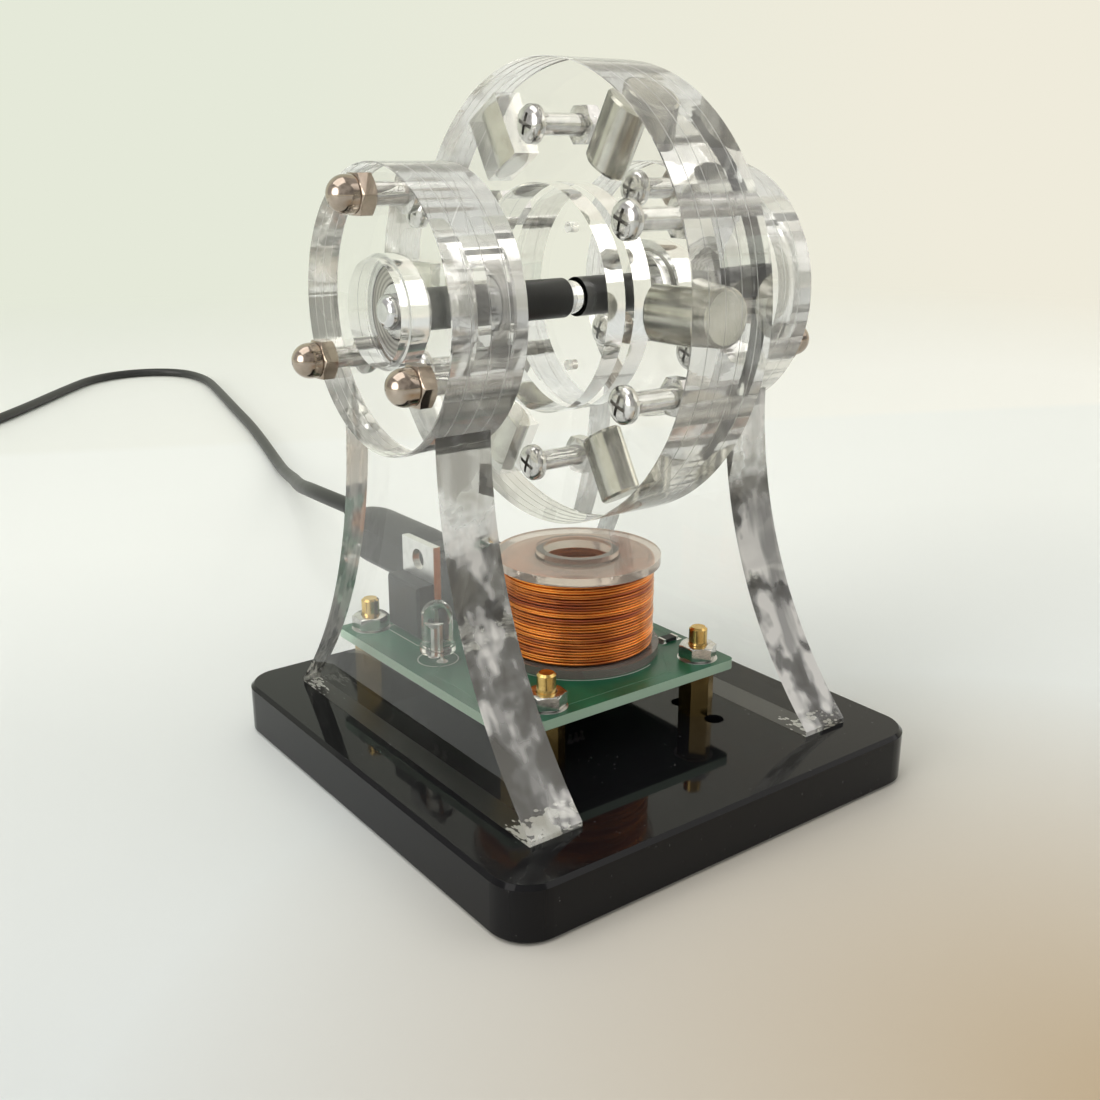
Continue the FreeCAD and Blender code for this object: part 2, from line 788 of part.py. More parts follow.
def plug_handle():
    """Moulded grip, round with flattened sides, drawn in at both ends."""
    swell = handle_length / 4
    edges = [Part.LineSegment(V(0, 0, 0), V(0, handle_nose_radius, 0)).toShape(),
             Part.Arc(V(0, handle_nose_radius, 0),
                      V(swell / 3, (handle_nose_radius + 2 * handle_radius) / 3, 0),
                      V(swell, handle_radius, 0)).toShape(),
             Part.LineSegment(V(swell, handle_radius, 0),
                              V(handle_length - swell, handle_radius, 0)).toShape(),
             Part.Arc(V(handle_length - swell, handle_radius, 0),
                      V(handle_length - swell / 3, (handle_tail_radius + handle_radius) / 2, 0),
                      V(handle_length, handle_tail_radius, 0)).toShape(),
             Part.LineSegment(V(handle_length, handle_tail_radius, 0),
                              V(handle_length, 0, 0)).toShape(),
             Part.LineSegment(V(handle_length, 0, 0), V(0, 0, 0)).toShape()]
    grip = turned(edges)
    flat = handle_radius * handle_flat_share
    slab = Part.makeBox(handle_length + 2 * overrun, 2 * flat, 2 * (handle_radius + overrun),
                        V(-overrun, -flat, -handle_radius - overrun))
    grip = grip.common(slab)
    grip.rotate(V(0, 0, 0), X_AXIS, 90)
    return placed(grip, V(jack_x, handle_start_y, jack_axis_z), Y_AXIS)


def strain_relief():
    """Tapered sleeve with grooves round it."""
    steps = 2 * relief_groove_count + 1
    step = relief_length / steps
    profile = [(0, 0, 0)]
    for k in range(steps):
        taper = relief_root_radius + (relief_tip_radius - relief_root_radius) * k / (steps - 1)
        radius = taper - (k % 2) * relief_groove_depth
        profile += [(k * step, radius, 0), ((k + 1) * step, radius, 0)]
    profile.append((relief_length, 0, 0))
    sleeve = turned(outline(profile))
    return placed(sleeve, V(jack_x, relief_start_y, jack_axis_z), Y_AXIS)


def cord_points():
    return [V(jack_x, cord_start_y, jack_axis_z)] + [V(*p) for p in cord_route]


def power_cord():
    """Tube of straight runs joined by tangent arcs as large as the runs allow."""
    points = cord_points()
    edges = []
    radii = []
    here = points[0]
    for before, corner, after in zip(points, points[1:], points[2:]):
        back = (before - corner).normalize()
        ahead = (after - corner).normalize()
        turn = math.pi - math.acos(max(-1, min(1, back.dot(ahead))))
        reach = corner_share * min((before - corner).Length, (after - corner).Length)
        radii.append(reach / math.tan(turn / 2))
        start = corner + back * reach
        end = corner + ahead * reach
        edges.append(Part.LineSegment(here, start).toShape())
        edges.append(arc_edge(start, back * -1, end))
        here = end
    edges.append(Part.LineSegment(here, points[-1]).toShape())
    shape = tube(edges, cord_radius)
    length = sum(e.Length for e in edges)
    print("cord radii:", " ".join("%.0f" % r for r in radii))
    print("free cord: length %.1f mm, volume share %.4f"
          % (length, shape.Volume / (math.pi * cord_radius ** 2 * length)))
    return shape


def hank_entry():
    """Where the free cord ends, its heading there, and the middle of the coil."""
    points = cord_points()
    heading = (points[-1] - points[-2]).normalize()
    start = points[-1] + heading * (2 * cord_radius)
    outer = hank_inner_radius + hank_turns_per_layer * hank_turn_pitch
    centre = start - Z_AXIS.cross(heading) * outer
    return points[-1], heading, start, centre


def hank_nodes():
    """Quarter-turn points of a coil that spirals in, climbs a layer and spirals out."""
    end, heading, start, centre = hank_entry()
    quarters = 4 * hank_turns_per_layer
    arm = start - centre
    first_angle = math.atan2(arm.y, arm.x)
    spin = 1 if Z_AXIS.cross(arm).dot(heading) > 0 else -1
    nodes = []
    for k in range(2 * quarters + 1):
        from_middle = k - quarters
        radius = hank_inner_radius + abs(from_middle) * hank_turn_pitch / 4
        angle = first_angle + spin * k * math.pi / 2
        lift = min(1, max(0, (from_middle + 1) / 2))
        inward = 0
        if 0 < abs(from_middle) < quarters:
            inward = hank_turn_pitch / (2 * math.pi * radius) * (1 if from_middle > 0 else -1)
        rise = 0
        if from_middle == 0:
            rise = hank_climb_slope_share * hank_layer_pitch / (math.pi * radius)
        out = V(math.cos(angle), math.sin(angle), 0)
        along = V(-math.sin(angle), math.cos(angle), 0) * spin
        point = centre + out * radius + Z_AXIS * (lift * hank_layer_pitch)
        nodes.append((point, (along + out * inward + Z_AXIS * rise).normalize()))
    return nodes


def hank_exit():
    """End of the coil and the heading there."""
    last, tangent = hank_nodes()[-1]
    end = last + tangent * hank_lead_out
    end.z = usb_axis_height
    return end, tangent


def cord_coil():
    tail, heading, start, centre = hank_entry()
    nodes = hank_nodes()
    end, tangent = hank_exit()
    nodes.append((end, tangent))
    edges = [Part.LineSegment(tail, start).toShape()] + through(nodes)
    edges.append(Part.LineSegment(end, end + tangent * (2 * cord_radius)).toShape())
    print("cord coil: length %.1f mm, least gap %.2f mm"
          % (sum(e.Length for e in edges), least_self_gap(edges, cord_radius, hank_inner_radius)))
    return tube(edges, cord_radius)


def usb_place():
    end, tangent = hank_exit()
    return end + tangent * (2 * cord_radius), tangent


def usb_body():
    point, heading = usb_place()
    neck = Part.makeCone(usb_neck_tip_radius, usb_neck_radius, usb_neck_length, V(0, 0, 0), X_AXIS)
    block = Part.makeBox(usb_body_length, usb_body_width, usb_body_height,
                         V(usb_neck_length, -usb_body_width / 2, -usb_body_height / 2))
    corners = [e for e in block.Edges if abs(e.tangentAt(e.FirstParameter).x) < 0.5
               and abs(e.tangentAt(e.FirstParameter).z) > 0.5]
    block = block.makeFillet(usb_corner_radius, corners)
    return placed(fused([neck, block]), point, heading)


def usb_shell():
    point, heading = usb_place()
    front = usb_neck_length + usb_body_length
    case = Part.makeBox(usb_shell_length, usb_shell_width, usb_shell_height,
                        V(front, -usb_shell_width / 2, -usb_shell_height / 2))
    hollow = Part.makeBox(usb_shell_length, usb_shell_width - 2 * usb_shell_wall,
                          usb_shell_height - 2 * usb_shell_wall,
                          V(front + usb_shell_wall, -usb_shell_width / 2 + usb_shell_wall,
                            -usb_shell_height / 2 + usb_shell_wall))
    tongue = Part.makeBox(usb_shell_length - 2 * usb_shell_wall,
                          usb_shell_width - 2 * usb_shell_wall, usb_tongue_height,
                          V(front, -usb_shell_width / 2 + usb_shell_wall,
                            usb_shell_height / 2 - usb_shell_wall - usb_tongue_height))
    return placed(fused([case.cut(hollow), tongue]), point, heading)


def build():
    os.makedirs("parts", exist_ok=True)
    save("base_plate", base_plate())
    head_holes = [("inner_cover", inner_cover_hole_radius),
                  ("inner_seat", bearing_radius + press_gap),
                  ("outer_seat", bearing_radius + press_gap),
                  ("cover", cover_hole_radius)]
    for side, word in ((-1, "left"), (1, "right")):
        save(word + "_stand", stand(side))
        for place, (name, hole) in enumerate(head_holes):
            save(word + "_head_" + name, head_sheet(side, place, hole))
        save(word + "_bearing_outer_race", outer_race(side))
        save(word + "_bearing_inner_race", inner_race(side))
        save(word + "_bearing_balls", balls(side))
        save(word + "_bearing_shields", shields(side))
        save(word + "_head_screws", head_screws(side))
        save(word + "_dome_nuts", head_nuts(side))
        save(word + "_shaft_sleeve", shaft_sleeve(side))
    for place, name in enumerate(("front_plate", "front_ring", "hub_disc", "rear_ring",
                                  "rear_plate")):
        save("rotor_" + name, rotor_sheet(place))
    save("rotor_magnets", magnets())
    save("rotor_screws", rotor_screws())
    save("rotor_nuts", rotor_nuts())
    save("rotor_shaft", shaft())
    save("board_pillars", pillars())
    save("board_nuts", pillar_nuts())
    save("base_screws", base_screws())
    save("circuit_board", circuit_board())
    save("coil_bobbin", coil_bobbin())
    save("coil_inner_layers", coil_inner_layers())
    save("coil_outer_layer", coil_outer_layer())
    save("transistor_body", transistor_body())
    save("transistor_tab", transistor_tab())
    save("transistor_leads", leads(transistor_leads_at(), transistor_rise))
    save("led_lens", led_lens())
    save("led_leads", leads(led_leads_at(), led_rise))
    save("hall_sensor", hall_sensor())
    save("hall_sensor_leads", leads(sensor_leads_at(), sensor_rise))
    save("chip_resistor", chip_resistor())
    save("power_socket", power_socket())
    save("socket_pin", socket_pin())
    save("plug_barrel", plug_barrel())
    save("plug_handle", plug_handle())
    save("plug_strain_relief", strain_relief())
    save("power_cord", power_cord())
    save("cord_coil", cord_coil())
    save("usb_plug_body", usb_body())
    save("usb_plug_shell", usb_shell())


build()
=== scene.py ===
import math

import bmesh
import bpy
from mathutils import Matrix, Vector

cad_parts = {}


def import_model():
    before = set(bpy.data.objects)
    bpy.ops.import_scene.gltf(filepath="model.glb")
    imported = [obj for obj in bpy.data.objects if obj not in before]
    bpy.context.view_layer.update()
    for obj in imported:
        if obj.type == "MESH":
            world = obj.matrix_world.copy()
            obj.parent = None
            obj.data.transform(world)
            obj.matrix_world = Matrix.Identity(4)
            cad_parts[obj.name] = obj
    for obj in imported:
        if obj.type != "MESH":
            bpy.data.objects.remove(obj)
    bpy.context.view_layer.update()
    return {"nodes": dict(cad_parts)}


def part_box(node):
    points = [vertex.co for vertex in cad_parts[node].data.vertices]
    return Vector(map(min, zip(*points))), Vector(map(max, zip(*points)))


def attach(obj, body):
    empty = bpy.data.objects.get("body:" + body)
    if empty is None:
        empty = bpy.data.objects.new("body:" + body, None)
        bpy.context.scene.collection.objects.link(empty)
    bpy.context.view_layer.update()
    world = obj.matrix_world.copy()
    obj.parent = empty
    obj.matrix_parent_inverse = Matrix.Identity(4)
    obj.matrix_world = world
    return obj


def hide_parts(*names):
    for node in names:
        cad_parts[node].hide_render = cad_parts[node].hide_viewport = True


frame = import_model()

# Looks of the demonstration motor. Positions are in metres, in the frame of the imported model:
# X along the rotor shaft, Y towards the power socket, Z up. Sizes read as millimetres times MM.

MM = 0.001
NODES = frame["nodes"]

# Places from the frame, to a micron

X, Y, Z = range(3)


def box_ends(node, axis):
    return [round(corner[axis], 6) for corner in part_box(node)]


def box_centre(node, axis):
    return sum(box_ends(node, axis)) / 2


def box_length(node, axis):
    first, last = box_ends(node, axis)
    return last - first


AXIS_Z = box_centre("rotor_shaft", Z)
SHEET = box_length("rotor_hub_disc", X)
HEAD_MIDDLE_X = box_centre("right_stand", X)
ROTOR_MIDDLE_X = box_centre("rotor_hub_disc", X)
BASE_TOP = box_ends("base_plate", Z)[1]
BOARD_BOTTOM, BOARD_TOP = box_ends("circuit_board", Z)

# Sizes shared by several pieces
SCREW_RADIUS = 1.5 * MM
SCREW_TAIL = 1.2 * MM
NUT_FLATS = 5.5 * MM
NUT_HEIGHT = 2.4 * MM
HEAD_SHEETS = 4
HEAD_HALF = HEAD_SHEETS / 2 * SHEET
ROTOR_SHEETS = 5
ROTOR_HALF = ROTOR_SHEETS / 2 * SHEET
STAND_SHEETS = 3
UPRIGHT = Matrix.Rotation(-math.pi / 2, 4, "Y")

# Camera: where it stands and the point that it aims at
CAMERA_PLACE = (-0.11496, -0.14975, 0.09698)
CAMERA_AIM = (-0.00664, -0.00506, 0.03839)
CAMERA_LENS = 39.76


def new_object(name, data):
    obj = bpy.data.objects.new(name, data)
    bpy.context.collection.objects.link(obj)
    return obj


def look(obj, place, target):
    obj.location = place
    obj.rotation_euler = (Vector(target) - Vector(place)).to_track_quat("-Z", "Y").to_euler()


def add_camera():
    lens = bpy.data.cameras.new("camera")
    lens.lens = CAMERA_LENS
    lens.clip_start = 0.005
    lens.clip_end = 20.0
    camera = new_object("camera", lens)
    look(camera, CAMERA_PLACE, CAMERA_AIM)
    bpy.context.scene.camera = camera


# Helpers for materials

def new_material(name, **inputs):
    """A material with a Principled shader and its constant sockets set."""
    material = bpy.data.materials.new(name)
    material.use_nodes = True
    shader = material.node_tree.nodes["Principled BSDF"]
    for socket, value in inputs.items():
        shader.inputs[socket.replace("_", " ")].default_value = value
    return material


def add(material, kind, **settings):
    """Adds a node; settings are its properties, or its sockets by name."""
    node = material.node_tree.nodes.new("ShaderNode" + kind)
    for key, value in settings.items():
        if hasattr(node, key):
            setattr(node, key, value)
        else:
            node.inputs[key.replace("_", " ")].default_value = value
    return node


def join(material, source, target):
    material.node_tree.links.new(source, target)


def shader_input(material, name):
    return material.node_tree.nodes["Principled BSDF"].inputs[name]


def feed(material, source, name):
    join(material, source, shader_input(material, name))


def stretched(material, scale):
    """Object coordinates scaled along each axis."""
    place = add(material, "TexCoord")
    mapping = add(material, "Mapping")
    mapping.inputs["Scale"].default_value = scale
    join(material, place.outputs["Object"], mapping.inputs["Vector"])
    return mapping.outputs["Vector"]


def noise(material, scale, detail=3.0, stretch=(1, 1, 1), roughness=0.55):
    texture = add(material, "TexNoise", Scale=scale, Detail=detail, Roughness=roughness)
    join(material, stretched(material, stretch), texture.inputs["Vector"])
    return texture.outputs["Fac"]


def ramp(material, source, low, high, stops=(0.3, 0.7)):
    node = add(material, "ValToRGB")
    first, last = node.color_ramp.elements
    first.position, last.position = stops
    first.color = (*low, 1)
    last.color = (*high, 1)
    join(material, source, node.inputs["Fac"])
    return node.outputs["Color"]


def remap(material, source, low, high, start=0.0, end=1.0):
    node = add(material, "MapRange")
    node.inputs["From Min"].default_value = start
    node.inputs["From Max"].default_value = end
    node.inputs["To Min"].default_value = low
    node.inputs["To Max"].default_value = high
    join(material, source, node.inputs["Value"])
    return node.outputs["Result"]


def sums(material, operation, first, second):
    node = add(material, "Math", operation=operation)
    for socket, value in zip(node.inputs, (first, second)):
        if isinstance(value, (int, float)):
            socket.default_value = value
        else:
            join(material, value, socket)
    return node.outputs["Value"]


def blend(material, share, first, second):
    """Mixes two colours, each a socket or three numbers."""
    node = add(material, "Mix", data_type="RGBA")
    join(material, share, node.inputs["Factor"])
    for name, value in (("A", first), ("B", second)):
        socket = [s for s in node.inputs if s.name == name and s.type == "RGBA"][0]
        if isinstance(value, tuple):
            socket.default_value = (*value, 1)
        else:
            join(material, value, socket)
    return [s for s in node.outputs if s.type == "RGBA"][0]


def bump(material, source, distance, strength=1.0):
    node = add(material, "Bump", Strength=strength, Distance=distance)
    join(material, source, node.inputs["Height"])
    feed(material, node.outputs["Normal"], "Normal")


def part_of(material, vector, axis):
    node = add(material, "SeparateXYZ")
    join(material, vector, node.inputs["Vector"])
    return node.outputs[axis]


# Materials

def acrylic_face():
    """Polished faces of the clear sheets, with faint handling marks."""
    m = new_material("acrylic_face", Base_Color=(0.99, 0.99, 0.985, 1), IOR=1.42,
                     Transmission_Weight=1.0)
    smears = noise(m, 55, 4)
    feed(m, remap(m, smears, 0.0, 0.02), "Roughness")
    feed(m, remap(m, smears, 1.0, 0.985, 0.5, 0.75), "Transmission Weight")
    return m


def acrylic_cut(name, cover):
    """Walls inside the sheets: clear, with a slight ripple."""
    m = new_material(name, Base_Color=(0.985, 0.985, 0.98, 1), IOR=1.42,
                     Transmission_Weight=0.97, Alpha=cover)
    ripple = noise(m, 1.0, 2, (150, 500, 500))
    feed(m, remap(m, ripple, 0.0, 0.05), "Roughness")
    bump(m, ripple, 0.00006, 0.3)
    return m


def acrylic_rim():
    """Laser cut edges: milky where the cut is rough, with fine ticks across each sheet."""
    m = new_material("acrylic_rim", IOR=1.42)
    patches = noise(m, 42, 3)
    ticks = noise(m, 1.0, 1, (25, 900, 900))
    marked = sums(m, "MULTIPLY", remap(m, ticks, 0.0, 1.0, 0.60, 0.66),
                  remap(m, patches, 0.0, 1.0, 0.54, 0.62))
    clear = blend(m, patches, (0.985, 0.975, 0.96), (0.99, 0.99, 0.985))
    feed(m, blend(m, marked, clear, (0.40, 0.35, 0.31)), "Base Color")
    feed(m, remap(m, patches, 0.74, 0.94, 0.35, 0.65), "Transmission Weight")
    feed(m, remap(m, patches, 0.90, 0.70, 0.40, 0.60), "Alpha")
    feed(m, remap(m, patches, 0.0, 0.05), "Roughness")
    bump(m, ticks, 0.00008, 0.3)
    return m


def acrylic_stand_edge():
    """Wide edges of the stands, where clear, milky and dark patches follow each other; the dark
    grey patches are painted reflections of darker surroundings.
    """
    m = new_material("acrylic_stand_edge", IOR=1.42)
    bands = noise(m, 1.0, 3, (120, 60, 95), 0.6)
    streaks = noise(m, 1.0, 2, (260, 90, 40))
    milky = sums(m, "MULTIPLY", remap(m, bands, 0.0, 1.0, 0.46, 0.54),
                 remap(m, streaks, 0.30, 1.0, 0.38, 0.52))
    # Painted reflection: grey patches stand in for darker surroundings seen in the clear edge
    dark = remap(m, bands, 1.0, 0.0, 0.40, 0.48)
    clear = blend(m, dark, (0.99, 0.99, 0.985), (0.56, 0.54, 0.50))
    feed(m, blend(m, milky, clear, (0.97, 0.96, 0.94)), "Base Color")
    feed(m, remap(m, milky, 0.86, 0.30), "Transmission Weight")
    feed(m, remap(m, streaks, 0.0, 0.04), "Roughness")
    bump(m, streaks, 0.00012, 0.35)
    return m


def bonded_seam():
    """The cement line between two sheets, a soft grey."""
    m = new_material("acrylic_seam", IOR=1.49, Transmission_Weight=0.35, Roughness=0.25,
                     Alpha=0.7)
    cement = ramp(m, noise(m, 90, 2), (0.50, 0.48, 0.46), (0.96, 0.96, 0.95), (0.35, 0.55))
    feed(m, cement, "Base Color")
    return m


def glue_film():
    """Glue under the feet: wetted black, with pale air bubbles, crowded near the toes."""
    m = new_material("glue_film", Roughness=0.35)
    bubbles = add(m, "TexVoronoi", Scale=820.0)
    join(m, stretched(m, (1, 1, 1)), bubbles.inputs["Vector"])
    place = add(m, "TexCoord")
    along = sums(m, "ABSOLUTE", part_of(m, place.outputs["Object"], "Y"), 0.0)
    crowd = sums(m, "ADD", remap(m, along, -0.35, 0.36, 0.022, 0.031),
                 remap(m, noise(m, 120, 2), -0.3, 0.45, 0.35, 0.65))
    size = sums(m, "ADD", bubbles.outputs["Distance"], sums(m, "MULTIPLY", crowd, -1.0))
    feed(m, ramp(m, size, (0.80, 0.80, 0.78), (0.006, 0.006, 0.006), (0.02, 0.09)), "Base Color")
    return m


def black_acrylic():
    m = new_material("black_acrylic", IOR=1.49, Specular_IOR_Level=0.19)
    specks = ramp(m, noise(m, 1400, 1), (0.006, 0.006, 0.007), (0.07, 0.07, 0.07), (0.76, 0.82))
    feed(m, specks, "Base Color")
    feed(m, remap(m, noise(m, 45, 5), 0.015, 0.10), "Roughness")
    bump(m, noise(m, 25, 2), 0.0002, 0.06)
    return m


def metal(name, colour, dark, rough_low, rough_high, scale=300, stretch=(1, 1, 1)):
    m = new_material(name, Metallic=1.0)
    grain = noise(m, scale, 4, stretch)
    feed(m, ramp(m, grain, dark, colour), "Base Color")
    feed(m, remap(m, grain, rough_low, rough_high), "Roughness")
    bump(m, noise(m, scale * 4, 3, stretch), 0.00002, 0.35)
    return m


def ringed_metal():
    """Bearing shields, pressed with fine rings about the shaft; light and dark rings painted into
    the colour as sheen of the grooves.
    """
    m = new_material("shield", Metallic=0.8)
    place = add(m, "TexCoord")
    flat = add(m, "VectorMath", operation="MULTIPLY")
    flat.inputs[1].default_value = (0, 1, 1)
    join(m, place.outputs["Object"], flat.inputs[0])
    away = add(m, "VectorMath", operation="DISTANCE")
    away.inputs[1].default_value = (0, 0, AXIS_Z)
    join(m, flat.outputs["Vector"], away.inputs[0])
    rings = sums(m, "SINE", sums(m, "MULTIPLY", away.outputs["Value"], 9000.0), 0.0)
    shade = remap(m, rings, 0.0, 1.0, -1.0, 1.0)
    # Painted sheen: the rings' light and dark in the base colour; the grooves themselves are the
    # bump
    feed(m, ramp(m, shade, (0.30, 0.29, 0.27), (0.56, 0.55, 0.52), (0.0, 1.0)), "Base Color")
    feed(m, remap(m, noise(m, 350, 3), 0.24, 0.42), "Roughness")
    bump(m, shade, 0.00006, 0.6)
    return m


def plastic(name, colour, lighter, rough_low, rough_high, grain=0.00003):
    m = new_material(name)
    patches = noise(m, 160, 4)
    feed(m, ramp(m, patches, colour, lighter), "Base Color")
    feed(m, remap(m, patches, rough_low, rough_high), "Roughness")
    bump(m, noise(m, 3500, 2), grain, 0.5)
    return m


def copper():
    """Enamelled wire, its colour changing from turn to turn."""
    m = new_material("copper", Metallic=1.0, Coat_Weight=0.9, Coat_Roughness=0.12,
                     Coat_Tint=(1.0, 0.80, 0.52, 1))
    turns = noise(m, 1.0, 3, (60, 60, 1100))
    feed(m, ramp(m, turns, (0.34, 0.07, 0.010), (0.97, 0.40, 0.060), (0.34, 0.66)), "Base Color")
    feed(m, remap(m, turns, 0.34, 0.20), "Roughness")
    return m


def board():
    """Solder mask over glass fibre: green faces with a faint weave, pale cut edges."""
    m = new_material("board", Coat_Weight=0.15, Coat_Roughness=0.15)
    weave = add(m, "TexChecker", Scale=1500.0)
    join(m, stretched(m, (1, 1, 1)), weave.inputs["Vector"])
    mask = ramp(m, noise(m, 120, 3), (0.002, 0.095, 0.045), (0.008, 0.165, 0.08))
    shape = add(m, "NewGeometry")
    level = sums(m, "ABSOLUTE", part_of(m, shape.outputs["Normal"], "Z"), 0.0)
    feed(m, blend(m, level, (0.42, 0.60, 0.47), mask), "Base Color")
    feed(m, remap(m, noise(m, 220, 2), 0.26, 0.42), "Roughness")
    bump(m, weave.outputs["Fac"], 0.00002, 0.2)
    return m


def bobbin_plastic():
    m = new_material("bobbin_plastic", IOR=1.5)
    cloud = noise(m, 130, 3)
    feed(m, ramp(m, cloud, (0.92, 0.79, 0.71), (0.98, 0.90, 0.84)), "Base Color")
    feed(m, remap(m, cloud, 0.68, 0.88), "Transmission Weight")
    feed(m, remap(m, cloud, 0.02, 0.10), "Roughness")
    return m


def lens_plastic():
    m = new_material("led", Base_Color=(0.97, 0.97, 0.96, 1), IOR=1.53, Transmission_Weight=1.0)
    feed(m, remap(m, noise(m, 300, 2), 0.0, 0.06), "Roughness")
    return m


FACE = acrylic_face()
BORE = acrylic_cut("acrylic_bore", 1.0)
WALL = acrylic_cut("acrylic_wall", 0.35)
RIM = acrylic_rim()
STAND_RIM = acrylic_stand_edge()
SEAM = bonded_seam()
GLUE = glue_film()
BLACK = black_acrylic()
STEEL = metal("steel", (0.80, 0.80, 0.81), (0.60, 0.60, 0.61), 0.10, 0.24)
SCREW = metal("screw", (0.78, 0.77, 0.76), (0.48, 0.47, 0.45), 0.10, 0.24, 500)
NICKEL = metal("nickel", (0.54, 0.46, 0.39), (0.30, 0.24, 0.19), 0.08, 0.2, 240)
MAGNET = metal("magnet", (0.74, 0.73, 0.67), (0.50, 0.49, 0.43), 0.16, 0.30, 180)
BRASS = metal("brass", (0.83, 0.60, 0.24), (0.58, 0.38, 0.12), 0.14, 0.28, 400)
SHIELD = ringed_metal()
TIN = metal("tin", (0.84, 0.84, 0.83), (0.70, 0.70, 0.69), 0.24, 0.40, 700)
COPPER = copper()
BOARD = board()
BOBBIN = bobbin_plastic()
EPOXY = plastic("epoxy", (0.018, 0.019, 0.021), (0.032, 0.033, 0.036), 0.45, 0.60)
MOULDED = plastic("moulded", (0.009, 0.009, 0.009), (0.018, 0.018, 0.018), 0.42, 0.56)
SLEEVE = plastic("sleeve", (0.008, 0.008, 0.008), (0.018, 0.018, 0.018), 0.3, 0.42)
CORD = plastic("cord", (0.012, 0.013, 0.012), (0.024, 0.025, 0.024), 0.36, 0.5, 0.00002)
LED = lens_plastic()
PAINT = plastic("board_paint", (0.52, 0.56, 0.52), (0.64, 0.68, 0.64), 0.5, 0.6)

NODE_MATERIALS = {
    "base_plate": BLACK, "rotor_shaft": STEEL, "rotor_magnets": MAGNET,
    "board_pillars": BRASS, "base_screws": SCREW, "circuit_board": BOARD,
    "coil_bobbin": BOBBIN, "transistor_body": EPOXY, "transistor_tab": TIN,
    "transistor_leads": TIN, "led_lens": LED, "led_leads": TIN, "hall_sensor": EPOXY,
    "hall_sensor_leads": TIN, "chip_resistor": EPOXY, "power_socket": MOULDED,
    "socket_pin": TIN, "plug_barrel": STEEL, "plug_handle": MOULDED,
    "plug_strain_relief": MOULDED, "usb_plug_body": MOULDED, "usb_plug_shell": STEEL}
for side in ("left", "right"):
    NODE_MATERIALS.update({
        side + "_bearing_outer_race": STEEL, side + "_bearing_inner_race": STEEL,
        side + "_bearing_balls": STEEL, side + "_bearing_shields": SHIELD,
        side + "_shaft_sleeve": SLEEVE})
for node, material in NODE_MATERIALS.items():
    for place in NODES[node].material_slots:
        place.material = material


# Helpers for meshes

def piece(name, mesh, body, slot_name, *nodes):
    """Links a mesh as a piece that rides on a body, in place of the CAD nodes named."""
    obj = new_object(name, mesh)
    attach(obj, body)
    if nodes:
        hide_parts(*nodes)
    return obj


def finished(bm, name):
    """Turns a bmesh into a mesh with its normals outward."""
    bmesh.ops.recalc_face_normals(bm, faces=bm.faces)
    mesh = bpy.data.meshes.new(name)
    bm.to_mesh(mesh)
    bm.free()
    return mesh


def smooth(mesh, degrees=30):
    for face in mesh.polygons:
        face.use_smooth = True
    mesh.set_sharp_from_angle(angle=math.radians(degrees))


def lathe_x(name, profile, segments, axis_z=AXIS_Z):
    """Turns a closed loop of (x, radius) about the rotor's axis."""
    bm = bmesh.new()
    rings = []
    for k in range(segments):
        a = 2 * math.pi * k / segments
        rings.append([bm.verts.new((x, r * math.cos(a), axis_z + r * math.sin(a)))
                      for x, r in profile])
    for k in range(segments):
        here, there = rings[k], rings[(k + 1) % segments]
        for i in range(len(profile)):
            j = (i + 1) % len(profile)
            bm.faces.new((here[i], here[j], there[j], there[i]))
    return finished(bm, name)


def skin_x(name, rows, segments=48, hollow=False):
    """A skin along X from rows of (x, radius), where a radius may be a function of the angle.

    It has a flat end at either side, or closes on itself where it is hollow."""
    bm = bmesh.new()
    rings = []
    for x, reach in rows:
        ring = []
        for k in range(segments):
            a = 2 * math.pi * k / segments
            r = reach(a) if callable(reach) else reach
            ring.append(bm.verts.new((x, r * math.cos(a), r * math.sin(a))))
        rings.append(ring)
    following = rings[1:] + rings[:1] if hollow else rings[1:]
    for here, there in zip(rings, following):
        for k in range(segments):
            n = (k + 1) % segments
            bm.faces.new((here[k], here[n], there[n], there[k]))
    if not hollow:
        bm.faces.new(rings[0])
        bm.faces.new(rings[-1])
    return finished(bm, name)


def box_mesh(size, middle=(0, 0, 0), turn=0.0):
    """A block, turned about X by some degrees."""
    bm = bmesh.new()
    bmesh.ops.create_cube(bm, size=1)
    bm.transform(Matrix.Rotation(math.radians(turn), 4, "X") @ Matrix.Translation(middle)
                 @ Matrix.Diagonal((*size, 1)))
    return finished(bm, "block")


def bar_mesh(start, end, radius, segments=40):
    """A round bar along X between two points."""
    bm = bmesh.new()
    middle = (Vector(start) + Vector(end)) / 2
    place = Matrix.Translation(middle) @ Matrix.Rotation(math.pi / 2, 4, "Y")
    bmesh.ops.create_cone(bm, cap_ends=True, segments=segments, radius1=radius, radius2=radius,
                          depth=abs(end[0] - start[0]), matrix=place)
    return finished(bm, "bar")


def cut(mesh, tools):
    """The mesh with each tool mesh taken out of it."""
    target = new_object("target", mesh)
    helpers = []
    for tool in tools:
        helper = new_object("tool", tool)
        helpers.append(helper)
        step = target.modifiers.new("cut", "BOOLEAN")
        step.operation = "DIFFERENCE"
        step.solver = "EXACT"
        step.object = helper
    graph = bpy.context.evaluated_depsgraph_get()
    result = bpy.data.meshes.new_from_object(target.evaluated_get(graph))
    result.name = mesh.name
    for helper in helpers + [target]:
        bpy.data.objects.remove(helper)
    return result


def copies(name, mesh, places):
    """One mesh made of a mesh repeated at every place, each place a matrix."""
    bm = bmesh.new()
    for place in places:
        part = mesh.copy()
        part.transform(place)
        bm.from_mesh(part)
        bpy.data.meshes.remove(part)
    result = bpy.data.meshes.new(name)
    bm.to_mesh(result)
    bm.free()
    for material in mesh.materials:
        result.materials.append(material)
    return result


def around(radius, degrees):
    a = math.radians(degrees)
    return radius * math.cos(a), AXIS_Z + radius * math.sin(a)


